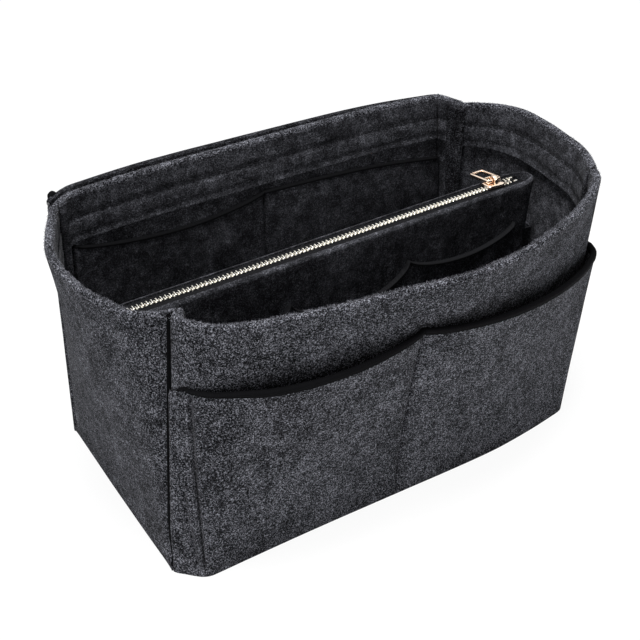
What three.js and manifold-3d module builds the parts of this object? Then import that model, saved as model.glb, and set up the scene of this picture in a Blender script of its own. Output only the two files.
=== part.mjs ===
// A felt handbag organizer: an open box of soft felt walls with turned-in hems, pockets outside
// and inside, and a zipped divider pouch across the middle.
// Millimetres, +Z up, origin at the centre of the underside. +X runs along the zip, -Y is the front.
import * as THREE from "three";
import { mergeVertices } from "three/addons/utils/BufferGeometryUtils.js";
import Module from "manifold-3d";

const wasm = await Module();
wasm.setup();

// Cloth and clearances
const FELT = 2.5; // thickness of one layer of felt
const GAP = 0.3; // clearance between two layers that lie on each other
const SEAM_GAP = 0.4; // clearance between two panels that meet at a seam
const BINDING_HEIGHT = 3.6; // dark tape over the mouth of a pocket
const BINDING_LAP = 0.6; // how far the tape stands out past the felt on each face
const BINDING_ROUND = 1.3; // height of the rounded top edge of the tape
const BINDING_CLEARANCE = 0.12; // between the tape and the wall where the pocket is sewn down

// Walls
const BASE_LENGTH = 304;
const BASE_DEPTH = 160;
const RIM_HEIGHT = 160;
const HEM_DEPTH = 31; // the rim is turned in by this much
const RIM_ROUND = 2.6; // height of the rounded top of the hem
const WALL_LEVELS = [0.25, 0.53, 0.8]; // shares of the height below the hem where a lean is followed
const BASE_THICKNESS = 2.5;
const FLARE_POWER = 1.35; // 1 is a straight lean; more keeps the flare near the rim
const FRONT_STEPS = 28;
const BACK_STEPS = 24;
const END_STEPS = 14;
const ROUND_STEPS = 4; // sides of a rounded edge

// Where each corner's fold and seam lie, measured in from the corner of the base rectangle,
// first at the floor and then at the rim
const CORNERS = {
  frontLeft: {
    side: -1,
    face: -1,
    floor: { fold: [13, -1], seam: [-1, 11] },
    rim: { fold: [12, 6], seam: [11, 13] },
  },
  frontRight: {
    side: 1,
    face: -1,
    floor: { fold: [30, 5.5], seam: [19, 23] },
    rim: { fold: [14, 13], seam: [8.5, 20.5] },
  },
  backRight: {
    side: 1,
    face: 1,
    floor: { fold: [12, 0], seam: [3, 13] },
    rim: { fold: [16, -5], seam: [11, 16] },
  },
  backLeft: {
    side: -1,
    face: 1,
    floor: { fold: [12, 0], seam: [1, 8] },
    rim: { fold: [19, -1.5], seam: [4.5, 9] },
  },
};

// How far each wall bows out from the straight line between its corners, at most
const FRONT_FLOOR_BOW = 6;
const FRONT_RIM_BOW = 42;
const RIGHT_FLOOR_BOW = 5;
const RIGHT_RIM_BOW = 25;
const BACK_FLOOR_BOW = 0.5;
const BACK_RIM_BOW = 6;
const LEFT_FLOOR_BOW = 0.5;
const LEFT_RIM_BOW = 26;

// The shape of each bow: share of the way along the wall, share of the bow
const FRONT_BOW = {
  floor: [[0, 0], [0.25, 0.2], [0.5, 0.63], [0.75, 1], [0.88, 0.65], [1, 0]],
  rim: [[0, 0], [0.05, 0.32], [0.22, 0.655], [0.4, 0.876], [0.52, 1], [0.68, 0.893], [0.86, 0.5], [1, 0]],
};
const RIGHT_BOW = {
  floor: [[0, 0], [0.3, 1], [0.6, 1], [1, 0]],
  rim: [[0, 0], [0.19, 0.57], [0.36, 0.8], [0.55, 0.98], [0.74, 1], [0.88, 0.67], [1, 0]],
};
const BACK_BOW = {
  floor: [[0, 0], [0.5, 1], [1, 0]],
  rim: [[0, 0], [0.2, 1], [0.5, 0.9], [0.8, 0.8], [1, 0]],
};
const LEFT_BOW = {
  floor: [[0, 0], [0.5, 1], [1, 0]],
  rim: [
    [0, 0],
    [0.06, 0.16],
    [0.2, 0.56],
    [0.36, 0.9],
    [0.52, 1],
    [0.68, 0.96],
    [0.82, 0.77],
    [0.92, 0.54],
    [1, 0],
  ],
};

// Divider pouch, in its own frame: X along the zip, Y across
const POUCH_ROOM = 8; // from each end of the pouch to the corner of the base rectangle
const POUCH_DROP = 28; // from the rim down to the top of the pouch
const POUCH_SHIFT_X = -3;
const POUCH_SHIFT_Y = -5.9;
const POUCH_TURN = 0.035; // radians; the pouch does not stand quite square to the walls
const POUCH_TOP = RIM_HEIGHT - POUCH_DROP;
const POUCH_TOP_HALF = 8.8; // half the depth across the zip
const POUCH_BELLY = 2.2; // how much deeper it is at mid height
const POUCH_LEVELS = [0, 0.2, 0.4, 0.6, 0.8, 1]; // shares of the height at which its sides are followed
const POUCH_STEPS = 36;
const POUCH_END_STEPS = 4;
const TAB_LOW = 14; // height of the bottom of an end tab
const TAB_DROP = 40; // from the top of the pouch down to the top of an end tab
const TAB_THICKNESS = 1.6;
const TAB_FOOT = 12; // the part of a tab that is sewn flat to the end wall

// Pockets: the edge that each hangs from, how far below it the mouth is where it is sewn down and
// at the bottom of each scoop, where its seams lie along the wall, and how far it stands off
const FRONT_POCKET = {
  edge: RIM_HEIGHT,
  sewn: [32, 30, 48],
  scoop: [38, 38],
  stitches: [0, 0.44, 1],
  puff: 8.5,
};
const BACK_POCKET = {
  edge: RIM_HEIGHT,
  sewn: [0.5, -3],
  scoop: [-2],
  stitches: [0, 1],
  puff: 2.2,
};
const INNER_POCKET = {
  edge: RIM_HEIGHT,
  sewn: [45, 35.5, 33],
  scoop: [37, 41.5],
  stitches: [0, 0.52, 1],
  puff: 3.4,
};
const SLIP_POCKET = {
  edge: POUCH_TOP,
  sewn: [24, 24, 24, 24],
  scoop: [33, 33, 33],
  stitches: [0, 0.333, 0.667, 1],
  puff: 3,
};
const SCOOP_FULLNESS = 0.8; // below 1 the scoop of a mouth is flatter at its bottom
const PUFF_FULLNESS = 0.6; // below 1 a pocket stands off more evenly between its stitches
const PUFF_RISE = 1.3; // above 1 it stays closer to the wall low down
const POCKET_LEVELS = [0, 0.25, 0.5, 0.75, 1]; // shares of the height at which its lean is followed

// Corner seams, inside
const SEAM_ALLOWANCE = 6;
const SEAM_WIDTH = 3.2;

// Zip
const PITCH = 2.754; // from one tooth to the next on the same side
const TOOTH_WIDTH = 0.95;
const CHAIN_HALF = 2.4; // from the middle of the zip to the outside of the chain
const CHAIN_BEAD = 0.9; // the unbroken part of the chain, along the tape
const CHAIN_HEIGHT = 2.6;
const TAPE_THICKNESS = 0.8;
const CHAIN_RISE = 0.4; // how far the chain stands above the pouch
const CHAIN_INSET = 9; // from the closed end of the pouch to the first tooth
const STOP_LENGTH = 2.8;
const OPEN_TEETH = 3; // teeth past the slider, not yet meshed
const OPENING = 1; // how far each half of the chain stands out past the slider
const TAPE_TIP = 3.7; // how far the tapes run into the rounded ends of the pouch
const TAPE_TIP_HALF = 4.1; // half their width there

// Slider and puller
const SLIDER_INSET = 26.5; // from the pouch's right end to the middle of the slider
const SLIDER_LENGTH = 13;
const SLIDER_WALL = 1.1;
const SLIDER_PLATE = 1.5;
const SLIDER_CLEARANCE = 0.4;
const SLIDER_REAR_IN = 1; // how much narrower each side is at the rear, where the teeth are meshed
const SLIDER_SHOULDER = 0.5; // share of its half length past which the front is rounded
const SLIDER_NOSE = 0.45; // share of its half width that the blunt front has
const SLIDER_NOTCH = 0.8; // share of its half length that is left in the middle of the front
const SLIDER_CHAMFER = 0.6;
const BAIL_WIDTH = 3.2;
const BAIL_WALL = 1.6;
const BAIL_HOLE = 1.6; // radius
const PULLER_WIDTH = 11;
const PULLER_BAR = 1.5;
const PULLER_CROSSBAR = 1.2;
const PULLER_CORNER = 1.2;
const PULLER_THICKNESS = 1.5;
const EYE_LENGTH = 3.9; // the window round the bail
const WINDOW_LENGTH = 9.8;
const PULLER_DROOP = 0.1; // radians below level where it lies over to the back

const materials = {
  felt: new THREE.MeshStandardMaterial({ color: 0x4a4b4f, roughness: 0.97, metalness: 0 }),
  binding: new THREE.MeshStandardMaterial({ color: 0x1d1e21, roughness: 0.9, metalness: 0 }),
  tape: new THREE.MeshStandardMaterial({ color: 0x26272a, roughness: 0.85, metalness: 0 }),
  brass: new THREE.MeshStandardMaterial({ color: 0xd9b070, roughness: 0.3, metalness: 1 }),
};

const organizer = new THREE.Group();

function addMesh(parent, name, geometry, material) {
  const mesh = new THREE.Mesh(geometry, material);
  mesh.name = name;
  parent.add(mesh);
  return mesh;
}

// Plane helpers: points are [x, y]

const mix = (a, b, share) => a + (b - a) * share;
const mixPoint = (a, b, share) => [mix(a[0], b[0], share), mix(a[1], b[1], share)];

// Value of a smooth curve through [place, value] pairs.
function smooth(pairs, place) {
  let k = 0;
  while (k < pairs.length - 2 && place > pairs[k + 1][0]) k += 1;
  const [x0, y0] = pairs[k];
  const [x1, y1] = pairs[k + 1];
  const slopeAt = (i) => {
    const before = pairs[Math.max(i - 1, 0)];
    const after = pairs[Math.min(i + 1, pairs.length - 1)];
    return (after[1] - before[1]) / (after[0] - before[0]);
  };
  const span = x1 - x0;
  const s = (place - x0) / span;
  const rise = s * s * (3 - 2 * s);
  const startPull = s * (1 - s) * (1 - s) * span * slopeAt(k);
  const endPull = s * s * (1 - s) * span * slopeAt(k + 1);
  return mix(y0, y1, rise) + startPull - endPull;
}

// A closed outline is { count, at(index, height) }, counter-clockwise seen from above.
// The point that lies `inset` inside it, on the mitre between its two neighbouring stretches.
function insetPoint(outline, index, height, inset) {
  const wrap = (i) => outline.at((i + outline.count) % outline.count, height);
  const before = wrap(index - 1);
  const here = wrap(index);
  const after = wrap(index + 1);
  const first = new THREE.Vector2(here[0] - before[0], here[1] - before[1]).normalize();
  const second = new THREE.Vector2(after[0] - here[0], after[1] - here[1]).normalize();
  const inward = new THREE.Vector2(-first.y - second.y, first.x + second.x).normalize();
  const reach = inset / (inward.x * -first.y + inward.y * first.x);
  return [here[0] + inward.x * reach, here[1] + inward.y * reach];
}

// A closed surface through rings of points. Each ring runs counter-clockwise seen from ahead, and
// the caps are cut by the flat shapes of the first and last ring.
function closedSurface(rings, firstFlat, lastFlat) {
  const size = rings[0].length;
  const index = [];
  for (let i = 0; i < rings.length - 1; i += 1) {
    for (let j = 0; j < size; j += 1) {
      const next = (j + 1) % size;
      const a = i * size + j;
      const b = i * size + next;
      const c = (i + 1) * size + next;
      const d = (i + 1) * size + j;
      index.push(a, b, c, a, c, d);
    }
  }
  const capOf = (flat) => {
    const contour = flat.map(([x, y]) => new THREE.Vector2(x, y));
    return THREE.ShapeUtils.triangulateShape(contour, []);
  };
  capOf(firstFlat).forEach(([a, b, c]) => index.push(c, b, a));
  const last = (rings.length - 1) * size;
  capOf(lastFlat).forEach(([a, b, c]) => index.push(last + a, last + b, last + c));
  const geometry = new THREE.BufferGeometry();
  geometry.setAttribute("position", new THREE.Float32BufferAttribute(rings.flat(2), 3));
  geometry.setIndex(index);
  return geometry;
}

// A layer of cloth along an outline from station `from` to station `to`. section(index) gives the
// layer's cut as [inset, height] pairs, counter-clockwise with inset to the right and height up.
function layer(outline, from, to, section, endGap = 0) {
  const rings = [];
  for (let index = from; index <= to; index += 1) {
    const neighbour = index === from ? index + 1 : index - 1;
    const pulled = index === from || index === to ? endGap : 0;
    rings.push(
      section(index).map(([inset, height]) => {
        const [x, y] = insetPoint(outline, index, height, inset);
        const [nx, ny] = insetPoint(outline, neighbour, height, inset);
        const share = pulled / Math.hypot(nx - x, ny - y);
        return [mix(x, nx, share), mix(y, ny, share), height];
      }),
    );
  }
  return closedSurface(rings, section(from), section(to));
}

// The outline of the four walls: front, right, back, left, each from its first seam to its last.

function cornerPoint(corner, kind, height) {
  const share = height / RIM_HEIGHT;
  const [x, y] = mixPoint(corner.floor[kind], corner.rim[kind], share);
  return [corner.side * (BASE_LENGTH / 2 - x), corner.face * (BASE_DEPTH / 2 - y)];
}

function bowedPoint(start, end, { bow, floorBow, rimBow }, along, height) {
  const share = (height / RIM_HEIGHT) ** FLARE_POWER;
  const out = mix(floorBow * smooth(bow.floor, along), rimBow * smooth(bow.rim, along), share);
  const [x, y] = mixPoint(start, end, along);
  const length = Math.hypot(end[0] - start[0], end[1] - start[1]);
  return [x + (out * (end[1] - start[1])) / length, y - (out * (end[0] - start[0])) / length];
}

const frontWall = {
  name: "front",
  first: CORNERS.frontLeft,
  last: CORNERS.frontRight,
  bow: FRONT_BOW,
  floorBow: FRONT_FLOOR_BOW,
  rimBow: FRONT_RIM_BOW,
  steps: FRONT_STEPS,
  flanged: true,
};
const rightWall = {
  name: "right",
  first: CORNERS.frontRight,
  last: CORNERS.backRight,
  bow: RIGHT_BOW,
  floorBow: RIGHT_FLOOR_BOW,
  rimBow: RIGHT_RIM_BOW,
  steps: END_STEPS,
  flanged: false,
};
const backWall = {
  name: "back",
  first: CORNERS.backRight,
  last: CORNERS.backLeft,
  bow: BACK_BOW,
  floorBow: BACK_FLOOR_BOW,
  rimBow: BACK_RIM_BOW,
  steps: BACK_STEPS,
  flanged: true,
};
const leftWall = {
  name: "left",
  first: CORNERS.backLeft,
  last: CORNERS.frontLeft,
  bow: LEFT_BOW,
  floorBow: LEFT_FLOOR_BOW,
  rimBow: LEFT_RIM_BOW,
  steps: END_STEPS,
  flanged: false,
};
const walls = [frontWall, rightWall, backWall, leftWall];

const stations = [];
for (const wall of walls) {
  wall.seamA = stations.length;
  stations.push({ wall, kind: "seam" });
  if (wall.flanged) stations.push({ wall, kind: "bow", along: 0 });
  for (let i = 1; i < wall.steps; i += 1) stations.push({ wall, kind: "bow", along: i / wall.steps });
  if (wall.flanged) stations.push({ wall, kind: "bow", along: 1 });
  wall.seamB = stations.length;
}

const wallOutline = {
  count: stations.length,
  at(index, height) {
    const { wall, kind, along } = stations[index];
    if (kind === "seam") return cornerPoint(wall.first, "seam", height);
    const end = wall.flanged ? "fold" : "seam";
    const start = cornerPoint(wall.first, end, height);
    const finish = cornerPoint(wall.last, end, height);
    return bowedPoint(start, finish, wall, along, height);
  },
};

// How far along its wall a station lies, from the first fold or seam to the last.
const alongWall = (wall, index) => {
  const first = wall.flanged ? wall.seamA + 1 : wall.seamA;
  return THREE.MathUtils.clamp((index - first) / wall.steps, 0, 1);
};

// The [inset, height] points over a rounded edge, from its inner side to its outer side.
function roundedEdge(middle, half, shoulder, top) {
  const points = [];
  for (let i = 0; i <= ROUND_STEPS; i += 1) {
    const angle = (Math.PI * i) / ROUND_STEPS;
    points.push([middle + half * Math.cos(angle), mix(shoulder, top, Math.sin(angle))]);
  }
  return points;
}

// Walls: one layer of felt, doubled where the rim is turned in, with a rounded top
const hemFoot = RIM_HEIGHT - HEM_DEPTH;
function wallSection() {
  const outside = WALL_LEVELS.map((share) => [0, share * hemFoot]);
  const inside = outside.map(([, height]) => [FELT, height]);
  const shoulder = RIM_HEIGHT - RIM_ROUND;
  const hemMiddle = (shoulder + hemFoot) / 2;
  return [
    [2 * FELT, hemMiddle],
    ...roundedEdge(FELT, FELT, shoulder, RIM_HEIGHT),
    [0, hemMiddle],
    [0, hemFoot],
    ...outside.reverse(),
    [0, 0],
    [FELT, 0],
    ...inside,
    [FELT, hemFoot],
    [2 * FELT, hemFoot],
  ];
}
for (const wall of walls) {
  const geometry = layer(wallOutline, wall.seamA, wall.seamB, wallSection, SEAM_GAP / 2);
  addMesh(organizer, `${wall.name}_panel`, geometry, materials.felt);
}

// Base: a flat panel between the feet of the walls
const baseOutline = new THREE.Shape();
for (let index = 0; index < wallOutline.count; index += 1) {
  const [x, y] = insetPoint(wallOutline, index, 0, FELT + SEAM_GAP);
  if (index === 0) baseOutline.moveTo(x, y);
  else baseOutline.lineTo(x, y);
}
baseOutline.closePath();
const baseGeometry = new THREE.ExtrudeGeometry(baseOutline, { depth: BASE_THICKNESS, bevelEnabled: false });
addMesh(organizer, "base_panel", baseGeometry, materials.felt);

// Pockets. A pocket panel lies on a wall and stands off it between its stitches, most at the mouth.
// The pockets of one panel share it, and one tape binds the whole mouth.

function pocketPlace(pocket, along) {
  let k = 0;
  while (k < pocket.scoop.length - 1 && along > pocket.stitches[k + 1]) k += 1;
  const share = (along - pocket.stitches[k]) / (pocket.stitches[k + 1] - pocket.stitches[k]);
  return { k, share: THREE.MathUtils.clamp(share, 0, 1) };
}

function mouthHeight(pocket, along) {
  const { k, share } = pocketPlace(pocket, along);
  const sewn = mix(pocket.sewn[k], pocket.sewn[k + 1], share);
  const middle = (pocket.sewn[k] + pocket.sewn[k + 1]) / 2;
  const drop = sewn + (pocket.scoop[k] - middle) * Math.sin(Math.PI * share) ** SCOOP_FULLNESS;
  return pocket.edge - drop;
}

function standOff(pocket, along, rise) {
  const { share } = pocketPlace(pocket, along);
  return pocket.puff * Math.sin(Math.PI * share) ** PUFF_FULLNESS * rise ** PUFF_RISE;
}

// side is -1 for a pocket outside the outline and 1 inside; face is the inset of the face that it
// lies on. Both give the cut of the felt, and of the tape on its mouth.
function pocketSection(pocket, place, side, face, foot) {
  return (index) => {
    const along = place(index);
    const top = mouthHeight(pocket, along) - BINDING_HEIGHT - GAP;
    const near = [];
    const far = [];
    for (const rise of POCKET_LEVELS) {
      const inset = face + side * (GAP + standOff(pocket, along, rise));
      const height = mix(foot, top, rise);
      near.push([inset, height]);
      far.push([inset + side * FELT, height]);
    }
    const [low, high] = side > 0 ? [near, far] : [far, near];
    return [...high, ...low.reverse()];
  };
}

function bindingSection(pocket, place, side, face) {
  return (index) => {
    const along = place(index);
    const top = mouthHeight(pocket, along);
    const away = GAP + standOff(pocket, along, 1);
    const middle = face + side * (away + FELT / 2);
    const half = FELT / 2 + Math.min(BINDING_LAP, away - BINDING_CLEARANCE);
    const low = top - BINDING_HEIGHT;
    return [
      [middle - half, low],
      [middle + half, low],
      ...roundedEdge(middle, half, top - BINDING_ROUND, top),
    ];
  };
}

function addPocket(parent, names, outline, range, pocket, place, side, face, foot) {
  const [from, to] = range;
  const felt = layer(outline, from, to, pocketSection(pocket, place, side, face, foot), SEAM_GAP);
  addMesh(parent, names.panel, felt, materials.felt);
  const tape = layer(outline, from, to, bindingSection(pocket, place, side, face), SEAM_GAP);
  addMesh(parent, names.binding, tape, materials.binding);
}

addPocket(
  organizer,
  { panel: "front_pocket_panel", binding: "front_pocket_binding" },
  wallOutline,
  [frontWall.seamA, frontWall.seamB],
  FRONT_POCKET,
  (index) => alongWall(frontWall, index),
  -1,
  0,
  0,
);
addPocket(
  organizer,
  { panel: "back_pocket_panel", binding: "back_pocket_binding" },
  wallOutline,
  [backWall.seamA, backWall.seamB],
  BACK_POCKET,
  (index) => alongWall(backWall, index),
  -1,
  0,
  0,
);
addPocket(
  organizer,
  { panel: "inner_pocket_panel", binding: "inner_pocket_binding" },
  wallOutline,
  [backWall.seamA + 1, backWall.seamB - 1],
  INNER_POCKET,
  (index) => alongWall(backWall, index),
  1,
  FELT,
  BASE_THICKNESS + GAP,
);

// Corner seams: the seam allowances of two walls, bound together and standing inwards
function seamBinding(index) {
  const levels = [BASE_THICKNESS + GAP, hemFoot / 2, hemFoot, RIM_HEIGHT - RIM_ROUND];
  const rings = levels.map((height) => {
    const near = insetPoint(wallOutline, index, height, 2 * FELT + GAP);
    const far = insetPoint(wallOutline, index, height, 3 * FELT);
    const inward = new THREE.Vector2(far[0] - near[0], far[1] - near[1]).normalize();
    const across = new THREE.Vector2(-inward.y, inward.x).multiplyScalar(SEAM_WIDTH / 2);
    const corner = (depth, turn) => [
      near[0] + inward.x * depth + across.x * turn,
      near[1] + inward.y * depth + across.y * turn,
      height,
    ];
    const start = SEAM_WIDTH / 2;
    const end = start + SEAM_ALLOWANCE;
    return [corner(start, -1), corner(end, -1), corner(end, 1), corner(start, 1)];
  });
  return closedSurface(rings, rings[0], rings[rings.length - 1]);
}
const seams = {
  front_left: frontWall.seamA,
  front_right: rightWall.seamA,
  back_right: backWall.seamA,
  back_left: leftWall.seamA,
};
for (const [corner, index] of Object.entries(seams)) {
  addMesh(organizer, `seam_binding_${corner}`, seamBinding(index), materials.binding);
}

// Divider pouch: two felt walls that meet at the ends and pinch together along the bottom

const pouch = new THREE.Group();
pouch.position.set(POUCH_SHIFT_X, POUCH_SHIFT_Y, 0);
pouch.rotation.z = POUCH_TURN;
organizer.add(pouch);

const pouchFoot = BASE_THICKNESS + GAP;
const pouchHalf = BASE_LENGTH / 2 - POUCH_ROOM;
const pinch = FELT + 2 * GAP;

// Half the depth of the pouch, outside, at a height, and the length of its rounded ends there.
const pouchRise = (height) => THREE.MathUtils.clamp((height - pouchFoot) / (POUCH_TOP - pouchFoot), 0, 1);
const endReach = (height) => mix(pinch, POUCH_TOP_HALF, pouchRise(height));
const pouchDepth = (height) => endReach(height) + POUCH_BELLY * Math.sin(Math.PI * pouchRise(height));

const sideCount = POUCH_STEPS + 2 * POUCH_END_STEPS;
const pouchOutline = {
  count: 2 * sideCount,
  at(index, height) {
    const back = index >= sideCount;
    const turn = back ? -1 : 1;
    const i = back ? index - sideCount : index;
    const depth = pouchDepth(height);
    const reach = endReach(height);
    const straight = pouchHalf - reach;
    let x = 0;
    let y = -depth;
    if (i < POUCH_END_STEPS) {
      const angle = ((Math.PI / 2) * i) / POUCH_END_STEPS;
      x = -straight - reach * Math.cos(angle);
      y = -depth * Math.sin(angle);
    } else if (i > POUCH_END_STEPS + POUCH_STEPS) {
      const angle = ((Math.PI / 2) * (sideCount - i)) / POUCH_END_STEPS;
      x = straight + reach * Math.cos(angle);
      y = -depth * Math.sin(angle);
    } else {
      x = mix(-straight, straight, (i - POUCH_END_STEPS) / POUCH_STEPS);
    }
    return [turn * x, turn * y];
  },
};

function pouchSection() {
  const heights = POUCH_LEVELS.map((share) => mix(pouchFoot, POUCH_TOP, share));
  const inner = heights.map((height) => [FELT, height]);
  const outer = heights.map((height) => [0, height]);
  return [...inner, ...outer.reverse()];
}
for (const [place, start] of [["front", 0], ["back", sideCount]]) {
  const geometry = layer(pouchOutline, start, start + sideCount, pouchSection, SEAM_GAP / 2);
  addMesh(pouch, `pouch_${place}_wall`, geometry, materials.felt);
}

const slipStart = POUCH_END_STEPS + 1;
const slipEnd = POUCH_END_STEPS + POUCH_STEPS - 1;
addPocket(
  pouch,
  { panel: "slip_pocket_panel", binding: "slip_pocket_binding" },
  pouchOutline,
  [slipStart, slipEnd],
  SLIP_POCKET,
  (index) => (index - slipStart) / (slipEnd - slipStart),
  -1,
  0,
  pouchFoot,
);

// End tabs: strips of felt that hold the pouch to the end walls, each with a foot sewn flat to the wall

// X of an end wall's inner face where it crosses a given Y.
function endWallInside(wall, y, height) {
  for (let index = wall.seamA; index < wall.seamB; index += 1) {
    const a = insetPoint(wallOutline, index, height, FELT);
    const b = insetPoint(wallOutline, index + 1, height, FELT);
    const share = (y - a[1]) / (b[1] - a[1]);
    if (share >= 0 && share <= 1) return mix(a[0], b[0], share);
  }
  throw new Error("the end wall does not reach this depth");
}

function endTab(wall, side) {
  const tabHigh = POUCH_TOP - TAB_DROP;
  const levels = [TAB_LOW, (TAB_LOW + tabHigh) / 2, tabHigh];
  const x0 = POUCH_SHIFT_X + side * (pouchHalf + GAP);
  const y0 = POUCH_SHIFT_Y + side * pouchHalf * POUCH_TURN;
  const rings = levels.map((height) => {
    const low = y0 - TAB_THICKNESS / 2;
    const high = low + TAB_THICKNESS;
    const foot = low + TAB_FOOT;
    const faceAt = (y) => endWallInside(wall, y, height) - side * GAP;
    const points = [
      [x0, low],
      [faceAt(low), low],
      [faceAt(foot), foot],
      [faceAt(foot) - side * TAB_THICKNESS, foot],
      [faceAt(high) - side * TAB_THICKNESS, high],
      [x0, high],
    ];
    if (side < 0) points.reverse();
    return points.map(([x, y]) => [x, y, height]);
  });
  return closedSurface(rings, rings[0], rings[rings.length - 1]);
}
addMesh(organizer, "pouch_tab_left", endTab(leftWall, -1), materials.felt);
addMesh(organizer, "pouch_tab_right", endTab(rightWall, 1), materials.felt);

// Zip: two tapes, each with a chain of teeth along its edge. The teeth mesh up to the slider, and
// past it the two halves part.

const chainTop = POUCH_TOP + CHAIN_RISE;
const chainLow = chainTop - CHAIN_HEIGHT;
const tapeLow = chainTop - CHAIN_HEIGHT / 2 - TAPE_THICKNESS / 2;
const chainStart = CHAIN_INSET - pouchHalf;
const sliderX = pouchHalf - SLIDER_INSET;
const sliderFront = sliderX + SLIDER_LENGTH / 2;
const sliderRear = sliderX - SLIDER_LENGTH / 2;
const toothCount = Math.round((sliderFront - chainStart) / PITCH) + OPEN_TEETH;
const chainEnd = chainStart + toothCount * PITCH;
const tapeHalf = POUCH_TOP_HALF - FELT - GAP;

// How far each half of the chain stands out from the closed zip.
const parted = (x) => OPENING * THREE.MathUtils.smoothstep(x, sliderRear, sliderFront);

function flatShape(points) {
  const shape = new THREE.Shape();
  points.forEach(([x, y], i) => (i === 0 ? shape.moveTo(x, y) : shape.lineTo(x, y)));
  shape.closePath();
  return shape;
}

function slab(shape, low, depth) {
  const geometry = new THREE.ExtrudeGeometry(shape, { depth, bevelEnabled: false, curveSegments: 6 });
  geometry.translate(0, 0, low);
  return geometry;
}

// One half of the chain: a bead with teeth that reach across the middle. side is -1 in front.
function chainOutline(side, phase) {
  const bead = CHAIN_HALF - CHAIN_BEAD;
  const tip = -(bead - GAP);
  const points = [];
  for (let i = 0; i < toothCount; i += 1) {
    const start = chainStart + (i + phase) * PITCH;
    const end = start + TOOTH_WIDTH;
    const shift = parted(start);
    points.push([start, bead + shift], [start, tip + shift], [end, tip + shift], [end, bead + shift]);
  }
  const open = parted(chainEnd);
  points.push([chainEnd, bead + open], [chainEnd, CHAIN_HALF + open], [sliderFront, CHAIN_HALF + open]);
  points.push([sliderRear, CHAIN_HALF], [chainStart - GAP, CHAIN_HALF], [chainStart - GAP, bead]);
  const placed = points.map(([x, y]) => [x, side * y]);
  return side > 0 ? placed : placed.reverse();
}

function tapeOutline(side) {
  const end = pouchHalf - POUCH_TOP_HALF;
  const tip = end + TAPE_TIP;
  const inner = CHAIN_HALF + GAP;
  const open = OPENING + inner;
  const points = [
    [-tip, inner],
    [sliderRear - GAP, inner],
    [sliderFront, open],
    [tip, open],
    [tip, TAPE_TIP_HALF],
    [end, tapeHalf],
    [-end, tapeHalf],
    [-tip, TAPE_TIP_HALF],
  ];
  const placed = points.map(([x, y]) => [x, side * y]);
  return side > 0 ? placed : placed.reverse();
}

for (const [place, side, phase] of [["front", -1, 0], ["back", 1, 0.5]]) {
  const chain = slab(flatShape(chainOutline(side, phase)), chainLow, CHAIN_HEIGHT);
  addMesh(pouch, `zip_teeth_${place}`, chain, materials.brass);
  const tape = slab(flatShape(tapeOutline(side)), tapeLow, TAPE_THICKNESS);
  addMesh(pouch, `zip_tape_${place}`, tape, materials.tape);
  const stop = new THREE.BoxGeometry(STOP_LENGTH, CHAIN_HALF - GAP, CHAIN_HEIGHT);
  const mesh = addMesh(pouch, `top_stop_${place}`, stop, materials.brass);
  const across = OPENING + CHAIN_HALF / 2 + GAP / 2;
  mesh.position.set(chainEnd + GAP + STOP_LENGTH / 2, side * across, (chainLow + chainTop) / 2);
}
const bottomStop = addMesh(
  pouch,
  "bottom_stop",
  new THREE.BoxGeometry(STOP_LENGTH, 2 * CHAIN_HALF, CHAIN_HEIGHT),
  materials.brass,
);
bottomStop.position.set(chainStart - 2 * GAP - STOP_LENGTH / 2, 0, (chainLow + chainTop) / 2);

// Slider: a plate with two side walls over the chain, and a bail that the puller turns in

function solidFrom(geometry) {
  const bare = geometry.clone();
  bare.deleteAttribute("normal");
  bare.deleteAttribute("uv");
  const merged = mergeVertices(bare);
  return new wasm.Manifold(
    new wasm.Mesh({
      numProp: 3,
      vertProperties: merged.attributes.position.array,
      triVerts: new Uint32Array(merged.index.array),
    }),
  );
}

function geometryFrom(solid) {
  const { numProp, vertProperties, triVerts } = solid.getMesh();
  const geometry = new THREE.BufferGeometry();
  geometry.setAttribute("position", new THREE.BufferAttribute(vertProperties, numProp));
  geometry.setIndex(new THREE.BufferAttribute(triVerts, 1));
  return geometry;
}

const slotHalf = CHAIN_HALF + OPENING + SLIDER_CLEARANCE;
const sliderHalf = slotHalf + SLIDER_WALL;
const plateLow = chainTop + SLIDER_CLEARANCE;
const plateTop = plateLow + SLIDER_PLATE;
const skirtLow = tapeLow + TAPE_THICKNESS + SLIDER_CLEARANCE;
const pivotHeight = plateTop + BAIL_HOLE;

// The cut across the slider, extruded along the zip.
function alongZip(points, length) {
  const geometry = new THREE.ExtrudeGeometry(flatShape(points), { depth: length, bevelEnabled: false });
  geometry.rotateX(Math.PI / 2);
  geometry.rotateZ(Math.PI / 2);
  geometry.translate(-length / 2, 0, 0);
  return geometry;
}

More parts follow.
